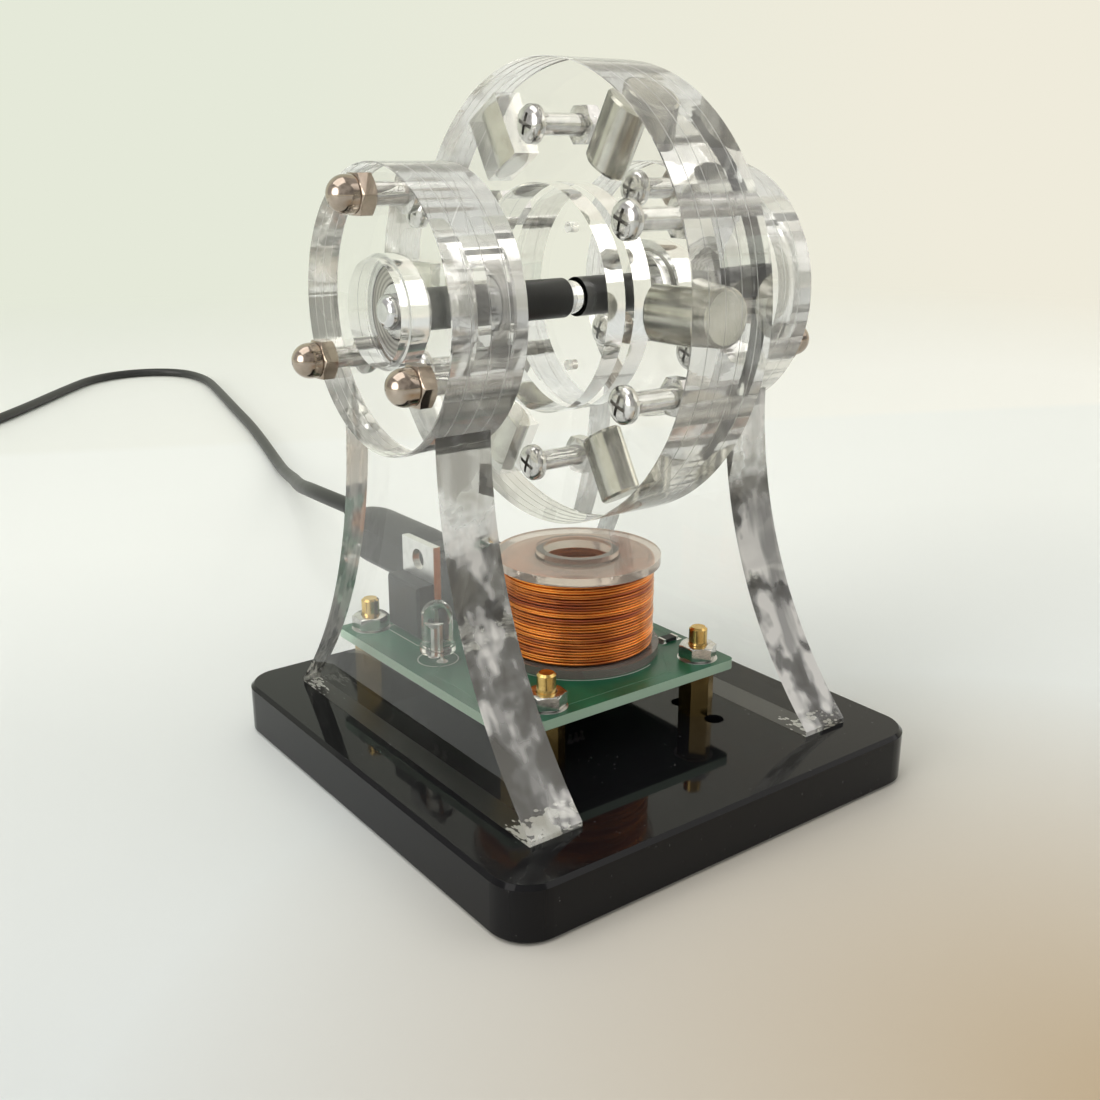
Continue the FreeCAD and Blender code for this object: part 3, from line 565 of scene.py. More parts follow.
def ring_places(x, radius, angles, side=1):
    """Places on a circle about the rotor's axis for pieces that point along X."""
    turn = Matrix.Identity(4) if side > 0 else Matrix.Rotation(math.pi, 4, "Z")
    return [Matrix.Translation((x, *around(radius, a))) @ turn for a in angles]


# Slots of the clear sheets: polished face, wall of a hole, cut edge, seam, bore, glue
ON_FACE, ON_WALL, ON_EDGE, ON_SEAM, ON_BORE, ON_GLUE = range(6)
FLAT = 0.98
BORE_TOLERANCE = 0.05 * MM
RIM_TOLERANCE = 0.5 * MM


def hole_tools(start, end, circle, angles, radius, segments=40):
    """Bars that drill holes on a circle, a sheet's thickness past both ends."""
    return [bar_mesh((start - SHEET, *around(circle, a)), (end + SHEET, *around(circle, a)),
                     radius, segments) for a in angles]


def clear_materials(mesh, edge, rim=0.0, seams=(), bores=()):
    """Polished faces, cut edges outside the rim's radius with their bonded seams, round
    bores, and the walls of screw holes and magnet pockets."""
    mesh.materials.clear()
    for material in (FACE, WALL, edge, SEAM, BORE):
        mesh.materials.append(material)
    for face in mesh.polygons:
        radius = math.hypot(face.center.y, face.center.z - AXIS_Z)
        if abs(face.normal.x) > FLAT:
            face.material_index = ON_FACE
        elif any(abs(radius - bore) < BORE_TOLERANCE for bore in bores):
            face.material_index = ON_BORE
        elif radius < rim - RIM_TOLERANCE:
            face.material_index = ON_WALL
        elif any(abs(face.center.x - seam) < GROOVE for seam in seams):
            face.material_index = ON_SEAM
        else:
            face.material_index = ON_EDGE


# Cord: the free stretch repeats the source's points, and the rest is a coil

CORD_RADIUS = 1.75 * MM
CORD_ROUTE = [(2.0, 78.05, 24.9), (2.1, 91.0, 24.5), (5.0, 105.0, 22.6), (10.5, 121.0, 19.0),
              (17.5, 138.0, 15.0), (25.0, 156.0, 11.0), (32.5, 176.0, 6.9), (39.5, 196.0, 3.6),
              (46.5, 217.0, 1.85), (54.0, 243.0, 1.85), (62.0, 272.0, 1.85), (70.0, 306.0, 1.85),
              (79.0, 343.0, 1.85), (87.0, 378.0, 1.85), (84.0, 402.0, 1.85), (67.0, 413.0, 1.85),
              (46.0, 408.0, 1.85), (27.0, 386.0, 1.85), (4.0, 357.0, 1.85), (-16.0, 334.0, 1.85),
              (-36.0, 315.0, 1.85), (-54.0, 301.0, 1.85)]
COIL_INNER_RADIUS = 14.0
COIL_PITCH = 4.1
COIL_TURNS_PER_LAYER = 2
COIL_STEP = 45
COIL_TAIL = 24.0
TAIL_HEIGHT = 4.2
TAIL_STEP = 3.5


def coil_points():
    """Control points of the coil: it spirals in, climbs a layer and spirals out again."""
    last, before = Vector(CORD_ROUTE[-1]), Vector(CORD_ROUTE[-2])
    ahead = (last - before).normalized()
    start = last + ahead * TAIL_STEP
    sideways = Vector((-ahead.y, ahead.x, 0))
    outer = COIL_INNER_RADIUS + COIL_TURNS_PER_LAYER * COIL_PITCH
    centre = start - sideways * outer
    first = math.degrees(math.atan2(start.y - centre.y, start.x - centre.x))
    half = COIL_TURNS_PER_LAYER * 360 // COIL_STEP
    stand_off = 1 / math.cos(math.radians(COIL_STEP / 2))
    points = []
    for k in range(2 * half):
        steps = k + 0.5 - half
        radius = COIL_INNER_RADIUS + abs(steps) * COIL_STEP / 360 * COIL_PITCH
        angle = math.radians(first - (k + 0.5) * COIL_STEP)
        lift = min(1, max(0, (steps * COIL_STEP / 90 + 1) / 2)) * COIL_PITCH
        points.append(centre + Vector((math.cos(angle), math.sin(angle), 0)) * radius * stand_off
                      + Vector((0, 0, lift)))
    top = last.z + COIL_PITCH
    for share, height in ((0.25, top), (0.6, (top + TAIL_HEIGHT) / 2), (1.0, TAIL_HEIGHT)):
        spot = start + ahead * COIL_TAIL * share
        points.append(Vector((spot.x, spot.y, height)))
    spot = start + ahead * (COIL_TAIL + TAIL_STEP)
    points.append(Vector((spot.x, spot.y, TAIL_HEIGHT)))
    return points


def nurbs_curve(name, points):
    curve = bpy.data.curves.new(name, "CURVE")
    curve.dimensions = "3D"
    spline = curve.splines.new("NURBS")
    spline.points.add(len(points) - 1)
    for control, point in zip(spline.points, points):
        control.co = (point[0] * MM, point[1] * MM, point[2] * MM, 1)
    spline.order_u = 3
    spline.use_endpoint_u = True
    spline.resolution_u = 8
    curve.bevel_depth = CORD_RADIUS
    curve.bevel_resolution = 5
    curve.use_fill_caps = True
    return curve


def power_cord():
    curve = nurbs_curve("cord", CORD_ROUTE + coil_points())
    curve.materials.append(CORD)
    cord = piece("cord", curve, "base", "cord_black", "power_cord", "cord_coil")


# Screws and nuts, each made along +X with its bearing face at the origin

HEAD_SCREW_CIRCLE = 15.8 * MM
HEAD_SCREW_ANGLES = (90, 210, 330)
ROTOR_SCREW_CIRCLE = 25.0 * MM
ROTOR_SCREW_ANGLES = (30, 90, 150, 210, 270, 330)
PAN_RADIUS = 2.8 * MM
PAN_HEIGHT = 2.0 * MM
PAN_EDGE = 0.9 * MM
RECESS_DEPTH = 1.1 * MM
RECESS_WIDTH = 0.55 * MM
RECESS_REACH = 3.2 * MM
THREAD_PITCH = 0.5 * MM
THREAD_DEPTH = 0.22 * MM
THREAD_ROWS = 6
FINE_GAP = 0.04 * MM
NUT_BORE = SCREW_RADIUS * 1.02
NUT_SINK = 0.15 * MM
DOME_RADIUS = 2.6 * MM
DOME_NECK = 2.45 * MM
DOME_START = 3.4 * MM
DOME_STEPS = 13


def thread_reach(x):
    """Radius of a helical thread at x, for each angle."""
    def reach(a):
        phase = (x / THREAD_PITCH - a / (2 * math.pi)) % 1
        return SCREW_RADIUS - THREAD_DEPTH * abs(2 * phase - 1)
    return reach


def pan_screw(name, length):
    """A pan head with a cross recess, and its threaded shank."""
    rows = []
    for k in range(1, 9):
        a = math.pi / 2 * k / 8
        rows.append((-PAN_EDGE - (PAN_HEIGHT - PAN_EDGE) * math.cos(a),
                     PAN_RADIUS * math.sin(a) ** 0.7))
    rows += [(-FINE_GAP * 3, PAN_RADIUS), (-FINE_GAP, PAN_RADIUS - FINE_GAP * 2)]
    rows.append((-FINE_GAP, SCREW_RADIUS - THREAD_DEPTH))
    steps = round(length / THREAD_PITCH * THREAD_ROWS) - THREAD_ROWS
    for k in range(1, steps):
        x = k * THREAD_PITCH / THREAD_ROWS
        rows.append((x, thread_reach(x)))
    rows.append((length - THREAD_PITCH, SCREW_RADIUS - THREAD_DEPTH))
    rows.append((length, SCREW_RADIUS - 2 * THREAD_DEPTH))
    screw = skin_x(name, rows, 30)
    tools = []
    for turn in (20, 110):
        tools.append(box_mesh((2 * RECESS_DEPTH, RECESS_REACH, RECESS_WIDTH),
                              (-PAN_HEIGHT, 0, 0), turn))
    screw = cut(screw, tools)
    screw.materials.clear()
    screw.materials.append(SCREW)
    smooth(screw, 50)
    return screw


def hexagon_reach(limit):
    """Radius of a hexagon across its flats, cut back to a round limit."""
    def reach(a):
        within = a % (math.pi / 3) - math.pi / 6
        return min(limit, NUT_FLATS / 2 / math.cos(within))
    return reach


def nut_rows():
    """Rows of a nut's outside from its bearing face to its top, with both chamfers."""
    flat = NUT_FLATS / 2
    corner = flat / math.cos(math.pi / 6)
    start = flat * 0.96
    depth = (corner - flat) * 0.6
    near = [(FINE_GAP + depth * k / 4, start + (corner - start) * k / 4) for k in range(5)]
    far = [(NUT_HEIGHT + FINE_GAP - x, r) for x, r in reversed(near)]
    return [(x, hexagon_reach(r)) for x, r in near + far]


def finished_nut(nut, material):
    nut.materials.append(material)
    smooth(nut, 28)
    return nut


def hexagon_nut(material):
    wide = NUT_BORE + NUT_SINK
    rows = [(FINE_GAP + NUT_SINK, NUT_BORE), (FINE_GAP, wide)] + nut_rows()
    rows += [(NUT_HEIGHT, wide), (NUT_HEIGHT - NUT_SINK, NUT_BORE)]
    return finished_nut(skin_x("nut", rows, 60, True), material)


def dome_nut():
    rows = [(FINE_GAP, NUT_BORE)] + nut_rows() + dome_rows()
    return finished_nut(skin_x("dome_nut", rows, 60), NICKEL)


def dome_rows():
    """Rows of the dome above the hexagon, with a fine groove under it."""
    rows = [(NUT_HEIGHT, DOME_NECK), (NUT_HEIGHT + 0.12 * MM, DOME_NECK),
            (NUT_HEIGHT + 0.2 * MM, DOME_RADIUS)]
    for k in range(DOME_STEPS):
        a = math.pi / 2 * k / DOME_STEPS
        rows.append((DOME_START + DOME_RADIUS * math.sin(a), DOME_RADIUS * math.cos(a)))
    return rows


def fasteners():
    screw = pan_screw("rotor_screw", ROTOR_SHEETS * SHEET + NUT_HEIGHT + SCREW_TAIL)
    places = ring_places(ROTOR_MIDDLE_X - ROTOR_HALF, ROTOR_SCREW_CIRCLE, ROTOR_SCREW_ANGLES)
    piece("rotor_screws_threaded", copies("rotor_screws", screw, places), "rotor",
          "screw_steel", "rotor_screws")
    nut = hexagon_nut(SCREW)
    places = ring_places(ROTOR_MIDDLE_X + ROTOR_HALF, ROTOR_SCREW_CIRCLE, ROTOR_SCREW_ANGLES)
    piece("rotor_nuts_chamfered", copies("rotor_nuts", nut, places), "rotor",
          "nut_nickel", "rotor_nuts")
    screw = pan_screw("head_screw", HEAD_SHEETS * SHEET + NUT_HEIGHT + SCREW_TAIL)
    dome = dome_nut()
    for side, word in ((-1, "left"), (1, "right")):
        places = ring_places(side * (HEAD_MIDDLE_X - HEAD_HALF), HEAD_SCREW_CIRCLE,
                             HEAD_SCREW_ANGLES, side)
        piece(word + "_head_screws_threaded", copies(word + "_screws", screw, places), "base",
              "screw_steel", word + "_head_screws")
        places = ring_places(side * (HEAD_MIDDLE_X + HEAD_HALF), HEAD_SCREW_CIRCLE,
                             HEAD_SCREW_ANGLES, side)
        piece(word + "_dome_nuts_turned", copies(word + "_domes", dome, places), "base",
              "nut_nickel", word + "_dome_nuts")
    upright = hexagon_nut(SCREW)
    places = [Matrix.Translation((x, y, BOARD_TOP)) @ UPRIGHT for x, y in PILLAR_PLACES]
    piece("board_nuts_chamfered", copies("board_nuts", upright, places), "base",
          "screw_steel", "board_nuts")


# Bearing heads

HEAD_RADIUS = box_length("right_head_cover", Y) / 2
HEAD_HOLES = (6.4 * MM, 8.02 * MM, 8.02 * MM, 7.5 * MM)
SCREW_HOLE = 1.65 * MM
GROOVE = 0.06 * MM
RIM_BREAK = 0.12 * MM
SEGMENTS = 160


def stack_rim(start, sheets, radius):
    """Rim of bonded sheets: broken outer edges and a fine groove at every joint."""
    first = start + FINE_GAP
    points = [(first, radius - RIM_BREAK), (first + RIM_BREAK, radius)]
    for k in range(1, sheets):
        x = start + k * SHEET
        points += [(x - GROOVE, radius), (x, radius - GROOVE), (x + GROOVE, radius)]
    last = start + sheets * SHEET - FINE_GAP
    return points + [(last - RIM_BREAK, radius), (last, radius - RIM_BREAK)]


def head(side, word):
    start = side * HEAD_MIDDLE_X - HEAD_HALF
    holes = HEAD_HOLES if side > 0 else HEAD_HOLES[::-1]
    profile = stack_rim(start, HEAD_SHEETS, HEAD_RADIUS)
    last = HEAD_SHEETS - 1
    for k in range(last, -1, -1):
        if k < last and holes[k] == holes[k + 1]:
            profile.pop()
        else:
            profile.append((start + (k + 1) * SHEET - (FINE_GAP if k == last else 0), holes[k]))
        profile.append((start + k * SHEET + (FINE_GAP if k == 0 else 0), holes[k]))
    mesh = lathe_x(word + "_head_sheets", profile, SEGMENTS)
    end = start + HEAD_SHEETS * SHEET
    mesh = cut(mesh, hole_tools(start, end, HEAD_SCREW_CIRCLE, HEAD_SCREW_ANGLES, SCREW_HOLE))
    seams = [start + k * SHEET for k in range(1, HEAD_SHEETS)]
    clear_materials(mesh, RIM, HEAD_RADIUS, seams, holes)
    smooth(mesh)
    piece(word + "_head_sheets", mesh, "base", "head_acrylic",
          *[word + "_head_" + part for part in ("cover", "outer_seat", "inner_seat",
                                                "inner_cover")])


# Rotor

ROTOR_RADIUS = box_ends("rotor_hub_disc", Z)[1] - AXIS_Z
WINDOW_RADIUS = 17.0 * MM
HUB_BORE = 2.52 * MM
SLOT_START = 21.9 * MM
SLOT_END = 32.1 * MM
SLOT_WIDTH = 8.2 * MM
BALANCE_HOLE = 0.8 * MM
BALANCE_CIRCLE = 10.4 * MM
MAGNET_COUNT = 6


def slot_block(degrees):
    """Pocket for one magnet, through the three middle sheets."""
    block = box_mesh((3 * SHEET, SLOT_END - SLOT_START, SLOT_WIDTH),
                     (0, (SLOT_START + SLOT_END) / 2, 0), degrees)
    block.transform(Matrix.Translation((ROTOR_MIDDLE_X, 0, AXIS_Z)))
    return block


def rotor():
    start = ROTOR_MIDDLE_X - ROTOR_HALF
    end = ROTOR_MIDDLE_X + ROTOR_HALF
    hub = SHEET / 2
    profile = stack_rim(start, ROTOR_SHEETS, ROTOR_RADIUS)
    profile += [(end - FINE_GAP, WINDOW_RADIUS), (ROTOR_MIDDLE_X + hub, WINDOW_RADIUS),
                (ROTOR_MIDDLE_X + hub, HUB_BORE), (ROTOR_MIDDLE_X - hub, HUB_BORE),
                (ROTOR_MIDDLE_X - hub, WINDOW_RADIUS), (start + FINE_GAP, WINDOW_RADIUS)]
    mesh = lathe_x("rotor_sheets", profile, 2 * SEGMENTS)
    tools = [slot_block(360 / MAGNET_COUNT * k) for k in range(MAGNET_COUNT)]
    tools += hole_tools(start, end, ROTOR_SCREW_CIRCLE, ROTOR_SCREW_ANGLES, SCREW_HOLE)
    tools += hole_tools(start, end, BALANCE_CIRCLE, (90, 270), BALANCE_HOLE, 24)
    mesh = cut(mesh, tools)
    seams = [start + k * SHEET for k in range(1, ROTOR_SHEETS)]
    clear_materials(mesh, RIM, ROTOR_RADIUS, seams, (WINDOW_RADIUS, HUB_BORE))
    smooth(mesh)
    piece("rotor_sheets", mesh, "rotor", "rotor_acrylic", "rotor_front_plate",
          "rotor_front_ring", "rotor_hub_disc", "rotor_rear_ring", "rotor_rear_plate")


# Stands

STAND_FOOT_HALF = box_length("right_stand", Y) / 2
STAND_NECK_HALF = 12.8 * MM
FOOT_TOE = 0.8 * MM
CRADLE_RADIUS = 20.05 * MM
GLUE_LINE = 0.03 * MM


def stand_outline(steps=48):
    """Outline in (y, z): the foot, up one hollow side, along the cradle and down again."""
    tip_z = AXIS_Z - math.sqrt(CRADLE_RADIUS ** 2 - STAND_NECK_HALF ** 2)
    toe_z = BASE_TOP + FOOT_TOE
    flare = STAND_FOOT_HALF - STAND_NECK_HALF
    rise = tip_z - toe_z
    sweep = (flare ** 2 + rise ** 2) / (2 * flare)
    full = math.asin(rise / sweep)
    half = [(STAND_FOOT_HALF, BASE_TOP + GLUE_LINE)]
    for k in range(steps + 1):
        a = full * (1 - k / steps)
        half.append((STAND_NECK_HALF + sweep * (1 - math.cos(a)), tip_z - sweep * math.sin(a)))
    reach = math.asin(STAND_NECK_HALF / CRADLE_RADIUS)
    for k in range(1, steps // 2):
        a = reach * (1 - 2 * k / steps)
        half.append((CRADLE_RADIUS * math.sin(a), AXIS_Z - CRADLE_RADIUS * math.cos(a)))
    return half + [(0, AXIS_Z - CRADLE_RADIUS)] + [(-y, z) for y, z in reversed(half)]


def stand(side, word):
    bm = bmesh.new()
    x0 = side * HEAD_MIDDLE_X - STAND_SHEETS / 2 * SHEET
    face = bm.faces.new([bm.verts.new((x0, y, z)) for y, z in stand_outline()])
    out = bmesh.ops.extrude_face_region(bm, geom=[face])
    moved = [v for v in out["geom"] if isinstance(v, bmesh.types.BMVert)]
    bmesh.ops.translate(bm, verts=moved, vec=(STAND_SHEETS * SHEET, 0, 0))
    mesh = finished(bm, word + "_stand_sheets")
    clear_materials(mesh, STAND_RIM)
    mesh.materials.append(GLUE)
    for face in mesh.polygons:
        if face.normal.z < -FLAT:
            face.material_index = ON_GLUE
    smooth(mesh, 20)
    piece(word + "_stand_sheets", mesh, "base", "stand_acrylic", word + "_stand")


# Coil winding

COIL_PLACE = (2.4 * MM, -0.5 * MM)
COIL_LOW = 20.15 * MM
COIL_HIGH = 33.45 * MM
COIL_RADIUS = 12.45 * MM
CORE_INNER_RADIUS = 7.08 * MM
WIRE_RADIUS = 0.24 * MM
WIRE_TURNS = 29
WIRE_RISE = 0.20 * MM
WIRE_BULGE = 0.10 * MM
UNDER_TURNS = WIRE_TURNS + 3
UNDER_RADIUS = COIL_RADIUS - 0.4 * MM
CORE_RADIUS = COIL_RADIUS - 0.95 * MM
CORE_LOW = COIL_LOW - 0.25 * MM
CORE_HIGH = COIL_HIGH + 0.25 * MM
CORE_ROWS = 6 * WIRE_TURNS


def wander(t, seed):
    """Slow irregular wave between -1 and 1."""
    return (math.sin(1.7 * t + seed) + math.sin(2.9 * t + 2.1 * seed)
            + math.sin(4.3 * t + 0.7 * seed)) / 3


def wire_mesh(name, path, radius, sides=7):
    bm = bmesh.new()
    rings = []
    for i, point in enumerate(path):
        ahead = (path[min(i + 1, len(path) - 1)] - path[max(i - 1, 0)]).normalized()
        outward = Vector((point.x - COIL_PLACE[0], point.y - COIL_PLACE[1], 0)).normalized()
        up = ahead.cross(outward).normalized()
        rings.append([bm.verts.new(point + (outward * math.cos(2 * math.pi * s / sides)
                                            + up * math.sin(2 * math.pi * s / sides)) * radius)
                      for s in range(sides)])
    for here, there in zip(rings, rings[1:]):
        for s in range(sides):
            bm.faces.new((here[s], here[(s + 1) % sides], there[(s + 1) % sides], there[s]))
    bm.faces.new(rings[0])
    bm.faces.new(rings[-1][::-1])
    mesh = finished(bm, name)
    for face in mesh.polygons:
        face.use_smooth = True
    mesh.materials.append(COPPER)
    return mesh


def winding_path(turns, radius, seed, per_turn=56):
    """A helix whose turns lie a little unevenly, as hand-fed wire does."""
    path = []
    for i in range(turns * per_turn + 1):
        turn_number = i / per_turn
        a = 2 * math.pi * turn_number + seed
        z = COIL_LOW + (COIL_HIGH - COIL_LOW) * turn_number / turns
        z += WIRE_RISE * wander(turn_number * 2.3, seed) * math.sin(a * 0.5 + seed)
        r = radius + WIRE_BULGE * wander(turn_number * 3.1, seed + 1)
        path.append(Vector((COIL_PLACE[0] + r * math.cos(a), COIL_PLACE[1] + r * math.sin(a), z)))
    return path


def winding_core():
    """The layers under the outer one, ridged by their turns outside and in the bore."""
    outside, bore = [], []
    for k in range(CORE_ROWS + 1):
        ridge = WIRE_RADIUS * abs(math.sin(math.pi * WIRE_TURNS * k / CORE_ROWS))
        rise = (CORE_HIGH - CORE_LOW) * k / CORE_ROWS
        outside.append((CORE_LOW + rise, CORE_RADIUS + ridge))
        bore.append((CORE_HIGH - rise, CORE_INNER_RADIUS + WIRE_RADIUS - ridge))
    profile = outside + bore
    mesh = lathe_x("winding_core", profile, 96, 0)
    mesh.transform(Matrix.Translation((*COIL_PLACE, 0)) @ UPRIGHT)
    mesh.materials.append(COPPER)
    for face in mesh.polygons:
        face.use_smooth = True
    piece("winding_core", mesh, "base", "copper_wire", "coil_inner_layers")


def winding():
    outer = wire_mesh("winding_outer", winding_path(WIRE_TURNS, COIL_RADIUS, 0.4), WIRE_RADIUS)
    piece("winding_outer", outer, "base", "copper_wire", "coil_outer_layer")
    under = wire_mesh("winding_under", winding_path(UNDER_TURNS, UNDER_RADIUS, 2.6), WIRE_RADIUS)
    piece("winding_under", under, "base", "copper_wire")
    winding_core()


# Details on the board: solder, pads, painted outlines, the parts inside the LED

PILLAR_PLACES = [(x * MM, y * MM) for x in (-15.5, 15.5) for y in (-16.0, 28.2)]
TRANSISTOR_BACK_X = -10.3 * MM
TRANSISTOR_Y = box_centre("transistor_tab", Y)
LED_PLACE = (box_centre("led_lens", X), box_centre("led_lens", Y))
LEAD_PITCH = 2.54 * MM
LEAD_RADIUS = 0.3 * MM
PAD_RADIUS = 0.95 * MM
SOLDER_HEIGHT = 0.7 * MM
PAINT_HEIGHT = 0.03 * MM
TRACK_HEIGHT = 0.035 * MM
SENSOR_PITCH = 1.27 * MM
RESISTOR_PLACE = (box_centre("chip_resistor", X), box_centre("chip_resistor", Y))
RESISTOR_SIZE = [box_length("chip_resistor", axis) for axis in (X, Y, Z)]
LINE_WIDTH = 0.16 * MM
LED_OUTLINE = 3.25 * MM
COIL_OUTLINE = 14.1 * MM
WIDE_TRACK = 0.9 * MM
NARROW_TRACK = 0.45 * MM
PAD_HOLE = 1.7 * MM
PAD_OUTSIDE = 3.3 * MM
POST_OFFSET = 0.55 * MM


def joint_rows(radius, height, upward):
    """A solder fillet that climbs a lead from its pad."""
    rows = []
    for k in range(7):
        share = k / 6
        reach = LEAD_RADIUS + (radius - LEAD_RADIUS) * (1 - share) ** 2.2
        rows.append((upward * height * share, reach))
    return rows


def solder():
    places = [(TRANSISTOR_BACK_X, TRANSISTOR_Y + k * LEAD_PITCH) for k in (-1, 0, 1)]
    places += [(LED_PLACE[0], LED_PLACE[1] + k * LEAD_PITCH / 2) for k in (-1, 1)]
    below = places + [(COIL_PLACE[0] + k * SENSOR_PITCH, COIL_PLACE[1]) for k in (-1, 0, 1)]
    bm = bmesh.new()
    for spots, z, way in ((places, BOARD_TOP, 1), (below, BOARD_BOTTOM, -1)):
        radius = PAD_RADIUS if way > 0 else PAD_RADIUS * 0.62
        joint = skin_x("joint", joint_rows(radius, SOLDER_HEIGHT, 1), 20)
        for x, y in spots:
            part = joint.copy()
            part.transform(Matrix.Translation((x, y, z))
                           @ Matrix.Rotation(-way * math.pi / 2, 4, "Y"))
            bm.from_mesh(part)
    mesh = finished(bm, "solder")
    mesh.materials.append(TIN)
    smooth(mesh, 60)
    piece("solder_joints", mesh, "base", "lead_tin")


def ribbon(bm, points, width, low, high):
    """A flat strip with mitred corners along points (x, y)."""
    spots = [Vector(p) for p in points]
    closed = (spots[0] - spots[-1]).length < 1e-6
    rings = []
    for i, spot in enumerate(spots):
        before = spots[i - 1] if i > 0 else (spots[-2] if closed else None)
        after = spots[i + 1] if i + 1 < len(spots) else (spots[1] if closed else None)
        arrive = (spot - before).normalized() if before else (after - spot).normalized()
        leave = (after - spot).normalized() if after else arrive
        ahead = (arrive + leave).normalized()
        side = Vector((-ahead.y, ahead.x)) * width / 2 / max(0.4, ahead.dot(arrive))
        rings.append([bm.verts.new((*(spot + side * k), z))
                      for k, z in ((1, low), (1, high), (-1, high), (-1, low))])
    for here, there in zip(rings, rings[1:]):
        for k in range(4):
            n = (k + 1) % 4
            bm.faces.new((here[k], here[n], there[n], there[k]))
    bm.faces.new(rings[0])
    bm.faces.new(rings[-1])


def circle_points(place, radius, start=0, end=360, steps=40):
    return [(place[0] + radius * math.cos(math.radians(start + (end - start) * k / steps)),
             place[1] + radius * math.sin(math.radians(start + (end - start) * k / steps)))
            for k in range(steps + 1)]


def board_paint():
    """Thin painted outlines that show where the parts go."""
    bm = bmesh.new()
    left, right = TRANSISTOR_BACK_X - 3.4 * MM, TRANSISTOR_BACK_X + 2.1 * MM
    near, far = TRANSISTOR_Y - 5.4 * MM, TRANSISTOR_Y + 5.4 * MM
    for line in (circle_points(LED_PLACE, LED_OUTLINE),
                 circle_points(COIL_PLACE, COIL_OUTLINE, 140, 290, 70),
                 [(left, near), (right, near), (right, far), (left, far), (left, near)]):
        ribbon(bm, line, LINE_WIDTH, BOARD_TOP, BOARD_TOP + PAINT_HEIGHT)
    mesh = finished(bm, "board_paint")
    mesh.materials.append(PAINT)
    piece("board_outlines", mesh, "base", "board_green")


def board_tracks():
    """Copper tracks under the mask, on both faces."""
    bm = bmesh.new()
    led_near = (LED_PLACE[0], LED_PLACE[1] - LEAD_PITCH / 2)
    led_far = (LED_PLACE[0], LED_PLACE[1] + LEAD_PITCH / 2)
    base_lead = (TRANSISTOR_BACK_X, TRANSISTOR_Y - LEAD_PITCH)
    middle_lead = (TRANSISTOR_BACK_X, TRANSISTOR_Y)
    far_lead = (TRANSISTOR_BACK_X, TRANSISTOR_Y + LEAD_PITCH)
    socket = (2.0 * MM, 22.0 * MM)
    routes = [
        (NARROW_TRACK, [led_far, (-14.0 * MM, 13.2 * MM), (-10.3 * MM, 16.4 * MM), base_lead]),
        (WIDE_TRACK, [middle_lead, (-6.0 * MM, TRANSISTOR_Y), socket]),
        (WIDE_TRACK, [far_lead, (-7.6 * MM, 27.0 * MM), (0.5 * MM, 27.0 * MM)]),
        (NARROW_TRACK, [led_near, (-17.6 * MM, 4.0 * MM), (-17.6 * MM, -10.0 * MM),
                        (-13.0 * MM, -17.6 * MM), (8.0 * MM, -17.6 * MM),
                        (13.5 * MM, -9.5 * MM),
                        (RESISTOR_PLACE[0] - 1.4 * MM, RESISTOR_PLACE[1])]),
        (NARROW_TRACK, [(RESISTOR_PLACE[0] + 1.4 * MM, RESISTOR_PLACE[1]),
                        (18.6 * MM, -5.0 * MM), (18.6 * MM, 16.0 * MM), (8.0 * MM, 24.0 * MM)])]
    for width, route in routes:
        ribbon(bm, route, width, BOARD_TOP, BOARD_TOP + TRACK_HEIGHT)
        ribbon(bm, route, width, BOARD_BOTTOM - TRACK_HEIGHT, BOARD_BOTTOM)
    mesh = finished(bm, "board_tracks")
    mesh.materials.append(BOARD)
    piece("board_tracks", mesh, "base", "board_green")


def pillar_pads():
    """Tinned rings round the pillar holes, under the nuts and on the pillars."""
    bm = bmesh.new()
    ring = lathe_x("pad", [(0, PAD_HOLE), (0, PAD_OUTSIDE), (TRACK_HEIGHT, PAD_OUTSIDE),
                           (TRACK_HEIGHT, PAD_HOLE)], 36, 0)
    for x, y in PILLAR_PLACES:
        for z in (BOARD_TOP, BOARD_BOTTOM - TRACK_HEIGHT):
            part = ring.copy()
            part.transform(Matrix.Translation((x, y, z)) @ UPRIGHT)
            bm.from_mesh(part)
    mesh = finished(bm, "pillar_pads")
    mesh.materials.append(TIN)
    piece("pillar_pads", mesh, "base", "lead_tin")


def led_inside():
    """The two posts inside the lens, one of them with its cup."""
    bm = bmesh.new()
    bottom = BOARD_TOP + 1.7 * MM
    for side, height in ((-1, 4.6), (1, 4.0)):
        block = box_mesh((0.4 * MM, 0.5 * MM, height * MM),
                         (LED_PLACE[0], LED_PLACE[1] + side * POST_OFFSET,
                          bottom + height / 2 * MM))
        bm.from_mesh(block)
    cup = skin_x("cup", [(0, 0.35 * MM), (0.5 * MM, 0.75 * MM), (0.8 * MM, 0.85 * MM),
                         (0.55 * MM, 0.3 * MM)], 24)
    cup.transform(Matrix.Translation((LED_PLACE[0], LED_PLACE[1] + POST_OFFSET,
                                      bottom + 3.9 * MM)) @ UPRIGHT)
    bm.from_mesh(cup)
    mesh = finished(bm, "led_inside")
    mesh.materials.append(TIN)
    piece("led_posts", mesh, "base", "lead_tin")


